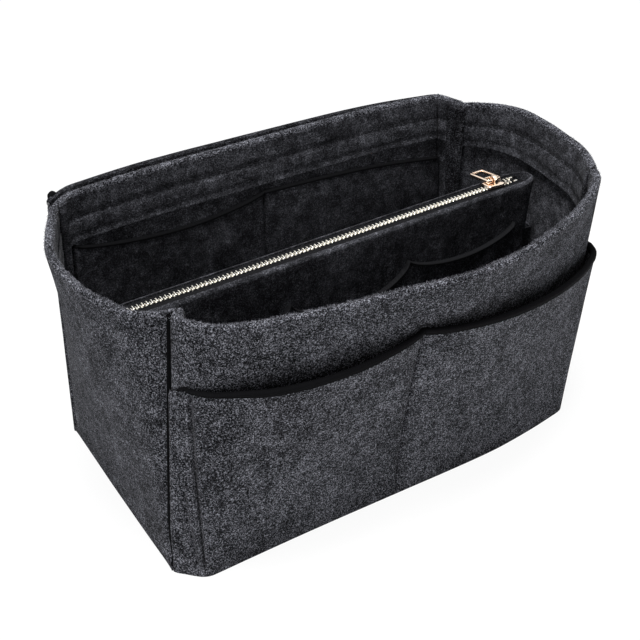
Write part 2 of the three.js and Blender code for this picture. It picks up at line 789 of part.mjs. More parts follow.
function sliderSolid() {
  const cut = alongZip(
    [
      [-sliderHalf, skirtLow],
      [-slotHalf, skirtLow],
      [-slotHalf, plateLow],
      [slotHalf, plateLow],
      [slotHalf, skirtLow],
      [sliderHalf, skirtLow],
      [sliderHalf, plateTop - SLIDER_CHAMFER],
      [sliderHalf - SLIDER_CHAMFER, plateTop],
      [SLIDER_CHAMFER - sliderHalf, plateTop],
      [-sliderHalf, plateTop - SLIDER_CHAMFER],
    ],
    SLIDER_LENGTH,
  );
  const plan = new THREE.Shape();
  const half = SLIDER_LENGTH / 2;
  const rear = sliderHalf - SLIDER_REAR_IN;
  const shoulder = half * SLIDER_SHOULDER;
  const nose = sliderHalf * SLIDER_NOSE;
  plan.moveTo(-half, -rear);
  plan.quadraticCurveTo(0, -rear, shoulder, -sliderHalf);
  plan.quadraticCurveTo(half, -sliderHalf, half, -nose);
  plan.quadraticCurveTo(half * SLIDER_NOTCH, 0, half, nose);
  plan.quadraticCurveTo(half, sliderHalf, shoulder, sliderHalf);
  plan.quadraticCurveTo(0, rear, -half, rear);
  plan.closePath();
  const outline = slab(plan, skirtLow - SLIDER_PLATE, plateTop - skirtLow + 2 * SLIDER_PLATE);
  const bailRadius = BAIL_HOLE + BAIL_WALL;
  const bailFoot = plateTop - SLIDER_PLATE / 2;
  const arch = new THREE.Shape();
  arch.moveTo(bailRadius, bailFoot);
  arch.lineTo(bailRadius, pivotHeight);
  arch.absarc(0, pivotHeight, bailRadius, 0, Math.PI, false);
  arch.lineTo(-bailRadius, bailFoot);
  arch.closePath();
  const hole = new THREE.Path();
  hole.absarc(0, pivotHeight, BAIL_HOLE, 0, 2 * Math.PI, true);
  arch.holes.push(hole);
  const bail = new THREE.ExtrudeGeometry(arch, { depth: BAIL_WIDTH, bevelEnabled: false, curveSegments: 10 });
  bail.rotateX(Math.PI / 2);
  bail.rotateZ(Math.PI / 2);
  bail.translate(-BAIL_WIDTH / 2, 0, 0);
  return solidFrom(cut).intersect(solidFrom(outline)).add(solidFrom(bail));
}
const slider = addMesh(pouch, "slider_body", geometryFrom(sliderSolid()), materials.brass);
slider.position.x = sliderX;

// Puller: a flat frame with two windows. Its near bar turns in the bail, which stands in the first.
function pullerGeometry() {
  const half = PULLER_WIDTH / 2;
  const near = -PULLER_BAR / 2;
  const eyeEnd = PULLER_BAR / 2 + EYE_LENGTH;
  const windowStart = eyeEnd + PULLER_CROSSBAR;
  const windowEnd = windowStart + WINDOW_LENGTH;
  const far = windowEnd + PULLER_BAR;
  const corner = PULLER_CORNER;
  const frame = new THREE.Shape();
  frame.moveTo(-half + corner, near);
  frame.lineTo(half - corner, near);
  frame.quadraticCurveTo(half, near, half, near + corner);
  frame.lineTo(half, far - corner);
  frame.quadraticCurveTo(half, far, half - corner, far);
  frame.lineTo(-half + corner, far);
  frame.quadraticCurveTo(-half, far, -half, far - corner);
  frame.lineTo(-half, near + corner);
  frame.quadraticCurveTo(-half, near, -half + corner, near);
  const inside = half - PULLER_BAR;
  for (const [low, high] of [[PULLER_BAR / 2, eyeEnd], [windowStart, windowEnd]]) {
    frame.holes.push(flatShape([[-inside, low], [-inside, high], [inside, high], [inside, low]]));
  }
  return slab(frame, -PULLER_THICKNESS / 2, PULLER_THICKNESS);
}
const puller = addMesh(pouch, "puller", pullerGeometry(), materials.brass);
puller.position.set(sliderX, 0, pivotHeight);
puller.rotation.x = -PULLER_DROOP;

export default organizer;
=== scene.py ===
"""The looks of a felt handbag organizer: felt walls with turned-in hems, bound pockets and a zipped
divider pouch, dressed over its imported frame. Shapes are worked out in millimetres and made in metres."""

import math
from dataclasses import dataclass
from types import SimpleNamespace

import bpy
import numpy as np
from mathutils import Matrix, Vector, noise


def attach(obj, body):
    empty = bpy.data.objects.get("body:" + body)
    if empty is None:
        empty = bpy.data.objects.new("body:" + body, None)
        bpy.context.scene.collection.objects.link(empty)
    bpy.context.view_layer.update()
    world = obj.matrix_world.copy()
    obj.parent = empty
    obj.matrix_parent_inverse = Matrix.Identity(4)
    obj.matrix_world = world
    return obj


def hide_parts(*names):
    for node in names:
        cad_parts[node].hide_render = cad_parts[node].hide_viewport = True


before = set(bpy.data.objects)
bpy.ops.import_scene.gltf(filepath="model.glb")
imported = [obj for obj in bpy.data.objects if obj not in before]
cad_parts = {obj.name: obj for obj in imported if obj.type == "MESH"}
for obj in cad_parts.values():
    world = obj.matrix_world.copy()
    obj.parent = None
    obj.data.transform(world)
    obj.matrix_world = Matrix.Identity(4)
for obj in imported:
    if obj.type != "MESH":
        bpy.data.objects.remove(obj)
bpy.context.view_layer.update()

MM = 0.001
BODY = "organizer"
UP = np.array((0, 0, 1.0))

# Cloth and clearances, in millimetres
FELT = 2.5
GAP = 0.3
SEAM_GAP = 0.4
BINDING_HEIGHT = 3.6
BINDING_LAP = 0.6
BINDING_CLOTH = 0.45
BINDING_CLEARANCE = 0.12
BINDING_SHOULDER = 0.36  # share of the binding's height that its rounded crown takes
POCKET_EDGE_DROP = 0.2  # from the inside of the binding down to the felt's edge

# Walls
BASE_LENGTH = 304
BASE_DEPTH = 160
RIM_HEIGHT = 160
HEM_DEPTH = 31
HEM_LIFT = 0.5  # how far the raw edge of the hem stands off the wall
RIM_ROUND = 2.6
FOOT_ROUND = 1.2
BASE_THICKNESS = 2.5
BASE_RINGS = (1, 0.96, 0.8, 0.6, 0.4, 0.2, 0.05)
INNER_FOOT = BASE_THICKNESS + GAP  # height at which everything inside begins
FLARE_POWER = 1.35
HEM_STITCH_DROP = 15.7  # from the rim down to the upper row of stitches of the hem
HEM_EDGE_STITCH = 3  # from the raw edge of the hem up to its lower row
INNER_ROLL = 0.3  # share of a panel's roll that shows on its inside
ROLL_POWER = 0.8
SEAM_ROLL_AT_FOOT = -0.12  # share of an end wall's roll at the foot, where the cloth bulges instead
FOOT_TUCK = 1.9  # how far the front pocket is drawn in at the foot of the front left seam
FOOT_TUCK_REACH = (0, 16)  # the distance from the seam over which it comes back out
FOOT_TUCK_HEIGHTS = (3, 34)  # the heights between which it fades
FOOT_FADE = (0.5, 9)  # over what height the roll of a seam runs out at the foot

# Each corner: the sides it lies on, and how far its fold and its seam lie in from the corner of the
# base rectangle, at the floor and at the rim
CORNERS = {
    "front_left": (-1, -1, {"fold": ((13, -1), (12, 6)), "seam": ((-1, 11), (11, 13))}),
    "front_right": (1, -1, {"fold": ((30, 5.5), (14, 13)), "seam": ((19, 23), (8.5, 20.5))}),
    "back_right": (1, 1, {"fold": ((12, 0), (16, -5)), "seam": ((3, 13), (11, 16))}),
    "back_left": (-1, 1, {"fold": ((12, 0), (19, -1.5)), "seam": ((1, 8), (4.5, 9))}),
}


@dataclass
class Wall:
    """A wall between two corners. bow is how far it bows out at the floor and at the rim, and shape
    says how that bow runs there, as pairs of share of the way along and share of the bow. rolls are
    the depth and reach of the roll at its first and last seam, and gaps how far those stand open."""

    corners: tuple
    bow: tuple
    shape: tuple
    steps: int
    flanged: bool
    rolls: tuple
    gaps: tuple
    first: int = 0
    last: int = 0


FRONT_FLOOR = ((0, 0), (0.25, 0.2), (0.5, 0.63), (0.75, 1), (0.88, 0.65), (1, 0))
FRONT_RIM = (
    *((0, 0), (0.05, 0.32), (0.22, 0.655), (0.4, 0.876)),
    *((0.52, 1), (0.68, 0.893), (0.86, 0.5), (1, 0)),
)
RIGHT_FLOOR = ((0, 0), (0.3, 1), (0.6, 1), (1, 0))
RIGHT_RIM = ((0, 0), (0.19, 0.57), (0.36, 0.8), (0.55, 0.98), (0.74, 1), (0.88, 0.67), (1, 0))
EVEN_FLOOR = ((0, 0), (0.5, 1), (1, 0))
BACK_RIM = ((0, 0), (0.2, 1), (0.5, 0.9), (0.8, 0.8), (1, 0))
LEFT_RIM = (
    *((0, 0), (0.06, 0.16), (0.2, 0.56), (0.36, 0.9), (0.52, 1)),
    *((0.68, 0.96), (0.82, 0.77), (0.92, 0.54), (1, 0)),
)
ROLL = (2.3, 4.5)
FRONT_ROLLS = ((1.8, 2.4), (2.6, 4.5))
FRONT_CORNERS, RIGHT_CORNERS = ("front_left", "front_right"), ("front_right", "back_right")
BACK_CORNERS, LEFT_CORNERS = ("back_right", "back_left"), ("back_left", "front_left")
WALLS = {
    "front": Wall(FRONT_CORNERS, (6, 42), (FRONT_FLOOR, FRONT_RIM), 150, True, FRONT_ROLLS, (0.1, 0.2)),
    "right": Wall(RIGHT_CORNERS, (5, 25), (RIGHT_FLOOR, RIGHT_RIM), 72, False, (ROLL, ROLL), (0.2, 0.2)),
    "back": Wall(BACK_CORNERS, (0.5, 6), (EVEN_FLOOR, BACK_RIM), 144, True, (ROLL, ROLL), (0.2, 0.2)),
    "left": Wall(LEFT_CORNERS, (0.5, 26), (EVEN_FLOOR, LEFT_RIM), 76, False, (ROLL, (4.4, 10)), (0.2, 0.1)),
}
# The front lip's extra bow
FRONT_SPREAD = ((0, 1), (0.06, 3.4), (0.5, 3.6), (0.8, 4.2), (0.93, 4.2), (1, 0.8))
FRONT_SPREAD_POWER = 6
FLANGE_STEPS = 10
FOLD_SOFTENING = 5  # passes that round a folded edge
SEAM_STEPS = (0.004, 0.008, 0.014)  # extra stations beside a seam, as shares of a wall

# Slow unevenness of the cloth
RIPPLE = ((62, 0.55), (21, 0.18))  # size of a swell, height of a swell
RIPPLE_AT_FLOOR = 0.25
LEVEL_STEP = 4
TOP_LEVEL = 176

# Divider pouch, in its own frame
POUCH_ROOM = 8
POUCH_DROP = 28
POUCH_SHIFT = (-3, -5.9)
POUCH_TURN = 0.035
POUCH_TOP = RIM_HEIGHT - POUCH_DROP
POUCH_TOP_HALF = 8.8
POUCH_BELLY = 2.2
POUCH_STEPS = 140
POUCH_ROUND = 2.3
POUCH_LIP_ROWS = 7
POUCH_END_BULGE = 6  # how far the top of the right end swells out
POUCH_END_STEPS = 12
POUCH_HALF = BASE_LENGTH / 2 - POUCH_ROOM


@dataclass
class Pocket:
    """A row of pockets. Its mouth drops from the edge by sewn at each row of stitches and by scoop
    between them. stitches are shares of the way along, and puff is how far it stands off. side is -1
    outside a wall, face how deep that side of the wall lies, and wall the one whose rolled ends it
    follows. Its middle row of stitches may lean, and its last row may lie round the corner."""

    name: str
    edge: float
    sewn: tuple
    scoop: tuple
    stitches: tuple
    puff: float
    wall: str = ""
    side: int = -1
    face: float = 0
    foot: float = 0
    fullness: float = 0.8
    lean: float = 0
    round_corner: float = 1


FRONT_POCKET = Pocket("front_pocket", RIM_HEIGHT, (32, 30, 48), (38, 38), (0, 0.44, 1), 8.5, "front")
FRONT_POCKET.lean = 0.036
FRONT_POCKET.round_corner = 1.035
BACK_POCKET = Pocket("back_pocket", RIM_HEIGHT, (0.5, -3), (-2,), (0, 1), 2.2, "back")
INNER_POCKET = Pocket("inner_pocket", RIM_HEIGHT, (45, 35.5, 33), (37, 41.5), (0, 0.52, 1), 3.4)
INNER_POCKET.side = 1
INNER_POCKET.face = FELT
INNER_POCKET.foot = INNER_FOOT
SLIP_POCKET = Pocket("slip_pocket", POUCH_TOP, (24,) * 4, (40, 40, 33), (0, 0.333, 0.667, 1), 3)
SLIP_POCKET.foot = INNER_FOOT
SLIP_POCKET.fullness = 0.6  # its worn mouths hang fuller
PUFF_FULLNESS = 0.6
PUFF_RISE = 1.3
POCKET_ROWS = 40
# How far the front mouth dips into the left corner, by the distance from the seam
CORNER_DIP = ((0, 8.6), (5, 7.2), (10, 5.2), (20, 2.4), (36, 0), (400, 0))
CORNER_TAPER = 0.15  # share of the front binding's height that is left in that corner
CORNER_TAPER_REACH = (6, 50)
TAPE_START = 6.5  # how far from the seam the front mouth's tape begins
BACK_MOUTH_DIP = 1.3  # how far the worn back mouth has settled
BACK_TAPE, THIN_TAPE = 0.7, 0.4  # shares of the usual binding's height
TAPE_CURL = (-4, 3)  # the ends of the back tape's curl, from the rim
CURL_REACH = (3.2, 4.2)
CURL_HALVES = (2.6, 2.2)

# Creases in felt: depth and reach
STITCH_DIMPLE = (0.9, 2.0)  # the furrow along a row of stitches
FOLD_CREASE = (2.1, 0.8)  # where the front pocket is sewn to the fold
FOLD_CREASE_DRIFT = 2.4  # how far that crease leaves the fold at the mouth
CENTRE_CREASE = (1.6, 0.9)  # along the middle row of stitches of a pocket
CORNER_CREASE = (1.7, 0.9)  # slanting, between the fold's crease and the seam
CORNER_CREASE_PATH = (2.5, 6.7)  # its distance from the fold at the foot, and by how much it grows
CORNER_CREASE_END = (0.42, 0.62)  # the shares of the pocket's height between which it fades
CREASE_FOOT = (0.005, 0.06)
BACK_FOLD_CREASE = (1.6, 0.9)  # inside, beside the back wall's right fold
FINE_STEP = 0.25  # stations between the wall's own where cloth is creased

# Corner seams, inside
SEAM_ALLOWANCE = 6
SEAM_WIDTH = 3.2
SEAM_SWAY = (17, 0.35)  # size and width of a seam cover's slow wander
FLAT_TAPE = (-1.2, 7.9)  # from the back right seam over the end wall and over the flange
FLAT_TAPE_THICKNESS = 1.1
FLAT_TAPE_LIE = 2 * FELT + 0.95
# How far the painted shadow in the front left groove spreads on the end wall, by height
GROOVE_SHADOW_HEIGHTS = (3, 18, 34, 60, 108, 135, 160)
GROOVE_SHADOW_REACH = (2.6, 4.8, 5.4, 4.1, 2.3, 1.5, 1.1)
GROOVE_SHADOW_THICKNESS = 0.25

# Zip, made in the pouch's frame
PITCH = 2.754
CHAIN_HALF = 2.4
CHAIN_HEIGHT = 2.6
CHAIN_RISE = 0.4
CHAIN_INSET = 9
TAPE_THICKNESS = 0.8
STOP_LENGTH = 2.8
OPEN_TEETH = 3
OPENING = 1
TAPE_TIP = 3.7
TAPE_TIP_HALF = 4.1
TAPE_SAG = -0.25
TAPE_STEPS = 240
TOOTH_WIDTH = 0.95  # of the part's teeth
TOOTH_SLIMNESS = 0.84  # of these teeth, against that width
TOOTH_LEAN = 0.05
# Across the zip from a tooth's clamp to its head: place, half width, half height
TOOTH_FORM = (
    *((2.42, 0.34, 0.66), (2.3, 0.56, 1.05), (1.7, 0.62, 1.28), (1.1, 0.56, 1.3), (0.5, 0.44, 1.16)),
    *((-0.1, 0.46, 1.08), (-0.6, 0.56, 1.06), (-0.95, 0.5, 0.88), (-1.1, 0.28, 0.5)),
)
# Across a tape from its corded edge outwards: place from the chain's edge, half thickness
TAPE_FORM = (
    *((-0.9, 0.1), (-0.8, 0.42), (-0.45, 0.62), (0.0, 0.55), (0.3, 0.3)),
    *((0.6, 0.26), (1.6, 0.26), (2.6, 0.26)),
)
# Along a stop: place as a share of its half length, size of its section
STOP_FORM = ((-1, 0.6), (-0.86, 0.92), (-0.3, 1), (0, 0.9), (0.3, 1), (0.86, 0.92), (1, 0.6))

# Slider and puller
SLIDER_INSET = 26.5
SLIDER_LENGTH = 13
SLIDER_WALL = 1.1
SLIDER_PLATE = 1.5
SLIDER_CLEARANCE = 0.4
SLIDER_REAR_IN = 1
SLIDER_SHOULDER = 0.5
SLIDER_NOSE = 0.45
SLIDER_NOTCH = 0.8
BAIL_WIDTH = 3.2
BAIL_WALL = 1.6
BAIL_HOLE = 1.6
PULLER_WIDTH = 11
PULLER_BAR = 1.5
PULLER_CROSSBAR = 1.2
PULLER_CORNER = 1.2
PULLER_THICKNESS = 1.5
PULLER_DROOP = 0.1
PULLER_FULLNESS = 1.45
EYE_LENGTH = 3.9
WINDOW_LENGTH = 9.8

CHAIN_TOP = POUCH_TOP + CHAIN_RISE
CHAIN_MIDDLE = CHAIN_TOP - CHAIN_HEIGHT / 2
CHAIN_START = CHAIN_INSET - POUCH_HALF
TAPE_TOP = CHAIN_MIDDLE + TAPE_THICKNESS / 2
TAPE_HALF = POUCH_TOP_HALF - FELT - GAP
SLIDER_X = POUCH_HALF - SLIDER_INSET
SLIDER_FRONT = SLIDER_X + SLIDER_LENGTH / 2
SLIDER_REAR = SLIDER_X - SLIDER_LENGTH / 2
TOOTH_COUNT = round((SLIDER_FRONT - CHAIN_START) / PITCH) + OPEN_TEETH
CHAIN_END = CHAIN_START + TOOTH_COUNT * PITCH
PLATE_LOW = CHAIN_TOP + SLIDER_CLEARANCE
PLATE_TOP = PLATE_LOW + SLIDER_PLATE
SKIRT_LOW = TAPE_TOP + SLIDER_CLEARANCE
SLIDER_HALF = CHAIN_HALF + OPENING + SLIDER_CLEARANCE + SLIDER_WALL
PIVOT_HEIGHT = PLATE_TOP + BAIL_HOLE
# From the inside of the slider's plate round its edge to the crown: scale of its outline, height
PLATE_FORM = (
    *((0.7, PLATE_LOW), (0.97, PLATE_LOW), (1.0, PLATE_LOW + 0.25), (1.0, PLATE_TOP - 0.7)),
    *((0.975, PLATE_TOP - 0.34), (0.92, PLATE_TOP - 0.1), (0.84, PLATE_TOP)),
    *((0.55, PLATE_TOP + 0.16), (0.25, PLATE_TOP + 0.22)),
)

# End tabs
TAB_DROP = 40
TAB_LOW = 14
TAB_THICKNESS = 1.6
TAB_FOOT = 12
TAB_SWAY = (25, 0.3)  # size and width of a tab's slow wander

# Stitches and loose fibres
STITCH_LENGTH = 2.6
STITCH_SPACING = 3.4
THREAD = 0.55
THREAD_SIDES = 6
STITCH_ARCH = (-0.9, 0.15, 0.4, 0.15, -0.9)  # rise of a stitch off the cloth, in threads
FUZZ_LENGTH = (0.5, 1.5)
FUZZ_RADIUS = 0.07
FUZZ_PER_MM = 7

# Felt's fibres: turn, size, width and strength
LIGHT_FIBRES = (((0.3, 0.9, 0.2), 460.0, 0.05, 1.5), ((1.3, 0.4, 1.9), 700.0, 0.06, 1.4))
DARK_FIBRES = (((2.1, 1.2, 0.7), 520.0, 0.05, 1.9), ((0.9, 2.3, 1.4), 820.0, 0.06, 1.7))
# Felt's specks and cloudy patches: size, detail, roughness and amount
SPECKS = ((980.0, 2.0, 0.85, 17.0), (1700.0, 0.0, 0.5, 9.0))
PATCHES = ((38.0, 2.0, 0.5, 2.2), (85.0, 1.0, 0.5, 1.8), (160.0, 2.0, 0.7, 4.2))
SPECK_RANGE = (-4.5, 4.5)
SHADE_RANGE = 6.2  # doublings of the shade from the darkest speck to the lightest
DARKEST = -3.7
RIM_HIGHLIGHT_REACH = (0.0001, 0.0018)  # how far the painted highlight along a rim runs down it, in metres

# Camera of the photograph, and the lamps: name, place, size, power
CAMERA_PLACE = Vector((-0.31634, -0.47212, 0.44349))
CAMERA_RIGHT = Vector((0.84197, -0.53952, 0))
CAMERA_UP = Vector((0.29611, 0.46210, 0.83593))
CAMERA_LENS = 62.36
CAMERA_SENSOR = 36
LAMPS = (
    ("left_softbox", (-1.5, -0.8, 0.32), 1.1, 19),
    ("right_softbox", (0.8, -1.6, 0.55), 1.1, 11),
    ("top_softbox", (-0.15, -0.1, 1.8), 0.5, 60),
)
LAMP_AIM = Vector((0, 0, 0.08))
FLOOR_REACH = 6.0
FLOOR_SIDES = 48
FLOOR_GLOW = 0.93  # how much of the floor the camera sees as plain white


# Numbers and curves


def mix(a, b, share):
    return a + (b - a) * share


def smooth(pairs, place):
    """Values at an array of places of a smooth curve through (place, value) pairs."""
    xs, ys = np.array(pairs, float).T
    count = len(xs)
    before = np.maximum(np.arange(count) - 1, 0)
    after = np.minimum(np.arange(count) + 1, count - 1)
    slopes = (ys[after] - ys[before]) / (xs[after] - xs[before])
    k = np.clip(np.searchsorted(xs, place) - 1, 0, count - 2)
    span = xs[k + 1] - xs[k]
    s = (place - xs[k]) / span
    rise = mix(ys[k], ys[k + 1], s * s * (3 - 2 * s))
    return rise + s * (1 - s) ** 2 * span * slopes[k] - s**2 * (1 - s) * span * slopes[k + 1]


def unit(vectors):
    return vectors / np.linalg.norm(vectors, axis=-1, keepdims=True)


def smoothstep(value, low, high):
    share = np.clip((value - low) / (high - low), 0, 1)
    return share * share * (3 - 2 * share)


def rounded(value, squareness):
    """A sine or cosine drawn towards a square's."""
    return np.sign(value) * np.abs(value) ** squareness


def swell(point, size, seed):
    """Slow noise from -1 to 1 at a point in millimetres."""
    return noise.noise(Vector((point[0] / size + seed, point[1] / size, point[2] / size)))


def path_reach(path):
    """How far along a path each of its points lies."""
    return np.concatenate([[0], np.cumsum(np.linalg.norm(np.diff(path, axis=0), axis=1))])


def on_path(places, reach, points):
    return np.stack([np.interp(places, reach, points[:, k]) for k in range(3)], -1)


class Shell:
    """An outline that changes with height: points and inward mitre vectors, stations by levels."""

    def __init__(self, points):
        self.points = points
        ahead = unit(np.roll(points, -1, 0) - points)
        turned = np.stack([-ahead[..., 1], ahead[..., 0]], -1)
        inward = unit(turned + np.roll(turned, 1, 0))
        self.inward = inward / (inward * turned).sum(-1, keepdims=True)
        lengths = np.linalg.norm(np.roll(points, -1, 0) - points, axis=-1)
        self.arc = np.concatenate([[0], np.cumsum(lengths[:, points.shape[1] // 2])])

    def grid(self, index, height, inset):
        """Points (n, m, 3) for n stations, with heights and insets of shape (n, m). A station may
        lie between two of the outline's own."""
        low = np.floor(index).astype(int)
        share = (np.asarray(index) - low)[:, None, None]
        return mix(self.rows(low, height, inset), self.rows(low + 1, height, inset), share)

    def rows(self, index, height, inset):
        shape = np.broadcast_shapes((len(index), 1), np.shape(height), np.shape(inset))
        height = np.broadcast_to(height, shape).astype(float)
        level = np.clip(height / LEVEL_STEP, 0, self.points.shape[1] - 1.001)
        low = level.astype(int)
        share = (level - low)[..., None]
        station = np.broadcast_to((np.asarray(index) % len(self.points))[:, None], shape)
        place, inward = (mix(a[station, low], a[station, low + 1], share) for a in (self.points, self.inward))
        flat = place + inward * np.broadcast_to(inset, shape)[..., None]
        return np.concatenate([flat, height[..., None]], -1)

    def place(self, index):
        """How far along the cloth each station lies, all round the outline."""
        return np.interp(index, np.arange(len(self.arc)), self.arc)

    def station(self, place):
        """The station at each distance along the cloth."""
        return np.interp(place, self.arc, np.arange(len(self.arc)))

    def row(self, index, height, inset):
        """Points along the outline at one height and inset."""
        return self.grid(index, np.full((1, 1), float(height)), np.full((1, 1), float(inset)))[:, 0]

    def column(self, station, heights, inset):
        """Points at one station and inset."""
        return self.grid([station], heights, np.full_like(heights, inset))[0]


# Meshes


def slab_faces(n, m):
    """Faces of a closed sheet whose two sides are grids of n by m points, one after the other."""
    i, j = np.meshgrid(np.arange(n - 1), np.arange(m - 1), indexing="ij")
    a = (i * m + j).ravel()
    far = n * m
    low = np.arange(n - 1) * m
    high = low + m - 1
    first = np.arange(m - 1)
    last = first + (n - 1) * m
    quads = (
        (a, a + m, a + m + 1, a + 1),
        (far + a, far + a + 1, far + a + m + 1, far + a + m),
        (low, far + low, far + low + m, low + m),
        (high, high + m, far + high + m, far + high),
        (first, first + 1, far + first + 1, far + first),
        (last, far + last, far + last + 1, last + 1),
    )
    return np.concatenate([np.stack(quad, 1) for quad in quads])


def loft_faces(rings, count, closed=False):
    """Faces between rings of equal count; open lofts get flat ends."""
    faces = []
    for k in range(rings if closed else rings - 1):
        a = k * count + np.arange(count)
        b = k * count + (np.arange(count) + 1) % count
        c = (k + 1) % rings * count
        faces += np.stack([a, b, c + b - k * count, c + a - k * count], 1).tolist()
    if not closed:
        faces.append(list(range(count))[::-1])
        faces.append(list(range((rings - 1) * count, rings * count)))
    return faces


def add_object(name, data):
    obj = bpy.data.objects.new(name, data)
    bpy.context.scene.collection.objects.link(obj)
    return obj


def add_mesh(name, points, faces, material, body=BODY, sharp=50):
    """A piece from points in millimetres, riding on a body. Edges bent by more than sharp degrees
    stay sharp."""
    mesh = bpy.data.meshes.new(name)
    mesh.from_pydata((np.asarray(points, float) * MM).tolist(), [], [list(map(int, f)) for f in faces])
    mesh.shade_smooth()
    mesh.set_sharp_from_angle(angle=math.radians(sharp))
    mesh.materials.append(material)
    obj = add_object(name, mesh)
    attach(obj, body)
    return obj


def add_slab(name, outer, inner, material, end_gaps=(0.0, 0.0)):
    """A closed sheet between two grids of points, each end pulled back by a gap."""
    for side in (outer, inner):
        for end, neighbour, gap in ((0, 1, end_gaps[0]), (-1, -2, end_gaps[1])):
            step = side[neighbour] - side[end]
            side[end] += unit(step) * gap
    points = np.concatenate([outer.reshape(-1, 3), inner.reshape(-1, 3)])
    return add_mesh(name, points, slab_faces(*outer.shape[:2]), material)


def add_loft(name, rings, material, body=BODY, sharp=50, closed=False, flip=False):
    """A piece whose surface runs from ring to ring of points."""
    faces = loft_faces(len(rings), len(rings[0]), closed)
    if flip:
        faces = [f[::-1] for f in faces]
    return add_mesh(name, np.concatenate(rings), faces, material, body, sharp)


def add_tube(name, centres, sides, ups, half_wide, half_deep, material):
    """A closed bar with a rounded section along a row of centres."""
    turn = np.linspace(0, 2 * math.pi, 12, endpoint=False)
    across = rounded(np.cos(turn), 0.6) * half_wide
    high = rounded(np.sin(turn), 0.6) * half_deep
    rings = []
    for k, centre in enumerate(centres):
        shrink = (0.55, 0.86, 1.0)[min(k, len(centres) - 1 - k, 2)]
        rings.append(centre + shrink * (np.outer(across, sides[k]) + np.outer(high, ups[k])))
    return add_loft(name, rings, material, sharp=180)


def line_faces(slab, chosen, lining):
    """Gives the chosen faces of a slab a second material."""
    slab.data.materials.append(lining)
    slab.data.polygons.foreach_set("material_index", chosen.astype(np.int32))


def ring_section(half_wide, half_high, squareness=0.62):
    """A soft-cornered section of 12 points across a bar, as (across, up) offsets."""
    turn = (np.arange(12) + 0.5) / 12 * 2 * math.pi
    across = rounded(np.cos(turn), squareness) * half_wide
    return np.stack([across, rounded(np.sin(turn), squareness) * half_high], -1)


def add_stitches(name, path, beyond, material):
    """A row of thread stitches along a path, each sunk into the cloth at both its ends. beyond is the
    same path further out of the cloth."""
    reach = path_reach(path)
    starts = np.arange(0.4, reach[-1] - STITCH_LENGTH, STITCH_SPACING)
    count = len(STITCH_ARCH)
    places = (starts[:, None] + np.linspace(0, STITCH_LENGTH, count)).ravel()
    centre = on_path(places, reach, path)
    out = unit(on_path(places, reach, beyond - path))
    ahead = unit(on_path(places + 0.5, reach, path) - centre + 1e-9)
    across = unit(np.cross(ahead, out))
    centre = centre + out * THREAD * np.tile(STITCH_ARCH, len(starts))[:, None]
    turn = np.linspace(0, 2 * math.pi, THREAD_SIDES, endpoint=False)
    ring = across[:, None] * np.cos(turn)[:, None] + out[:, None] * np.sin(turn)[:, None]
    points = (centre[:, None] + ring * THREAD / 2).reshape(-1, 3)
    one = loft_faces(count, THREAD_SIDES)
    faces = [[v + k * count * THREAD_SIDES for v in face] for k in range(len(starts)) for face in one]
    return add_mesh(name, points, faces, material)


def add_fuzz(name, shell, index, arch, material, seed):
    """Fine loose fibres that stand out of a rounded edge of felt. arch is the middle of the round as
    inset and height, and its radii."""
    dice = np.random.default_rng(seed)
    inset, height, wide, high = arch
    row = shell.row(index, height, inset)
    out = unit(shell.row(index, height, inset + 1) - row)
    reach = path_reach(row)
    count = int(reach[-1] * FUZZ_PER_MM)
    place = dice.uniform(0.5, reach[-1] - 0.5, count)
    inner = unit(on_path(place, reach, out))
    base = on_path(place, reach, row)
    ahead = np.cross(inner, (0, 0, 1))
    angle = dice.uniform(-1.5, 1.5, (count, 1))
    normal = inner * np.sin(angle) + UP * np.cos(angle)
    base = base + inner * wide * np.sin(angle) + UP * (high * np.cos(angle) - 0.1)
    lean = ahead * dice.normal(0, 0.9, (count, 1))
    first = unit(normal + lean + inner * dice.normal(0, 0.35, (count, 1)))
    second = unit(first + lean + UP * dice.normal(0, 0.5, (count, 1)))
    length = dice.uniform(*FUZZ_LENGTH, (count, 1))
    middle = base + first * length * 0.5
    tip = middle + second * length * 0.5
    side = unit(np.cross(first, ahead + 0.01))
    other = np.cross(first, side)
    ring = [side * math.cos(a) + other * math.sin(a) for a in (0, 2.094, 4.189)]
    points = [base + r * FUZZ_RADIUS for r in ring] + [middle + r * FUZZ_RADIUS * 0.8 for r in ring] + [tip]
    points = np.stack(points, 1).reshape(-1, 3)
    one = [(2, 1, 0)]
    one += [(k, (k + 1) % 3, (k + 1) % 3 + 3, k + 3) for k in range(3)]
    one += [(k + 3, (k + 1) % 3 + 3, 6) for k in range(3)]
    faces = [[v + 7 * i for v in face] for i in range(count) for face in one]
    return add_mesh(name, points, faces, material)


def dress(obj, slot, *nodes):
    """Hides the nodes of the frame that a piece stands for. slot, the piece's colour slot, is not used."""
    if nodes:
        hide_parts(*nodes)


# Material building


def new_group(name, inputs, outputs):
    """A node group with a Vector input and others by their starting values, its given sockets and its
    end."""
    group = bpy.data.node_groups.new(name, "ShaderNodeTree")
    for socket, value in {"Vector": None, **inputs}.items():
        kind = "Vector" if value is None else "Color" if isinstance(value, tuple) else "Float"
        made = group.interface.new_socket(name=socket, in_out="INPUT", socket_type="NodeSocket" + kind)
        if value is not None:
            made.default_value = value
    for socket in outputs:
        kind = "NodeSocketColor" if socket == "Color" else "NodeSocketFloat"
        group.interface.new_socket(name=socket, in_out="OUTPUT", socket_type=kind)
    given = group.nodes.new("NodeGroupInput")
    return group, given.outputs, group.nodes.new("NodeGroupOutput")


def join(tree, socket, value):
    """Gives an input a value, or a socket to link from."""
    if isinstance(value, bpy.types.NodeSocket):
        tree.links.new(value, socket)
    else:
        socket.default_value = value


def add_node(tree, kind, links=None, **settings):
    node = tree.nodes.new("ShaderNode" + kind)
    for key, value in settings.items():
        setattr(node, key, value)
    for key, value in (links or {}).items():
        join(tree, node.inputs[key], value)
    return node


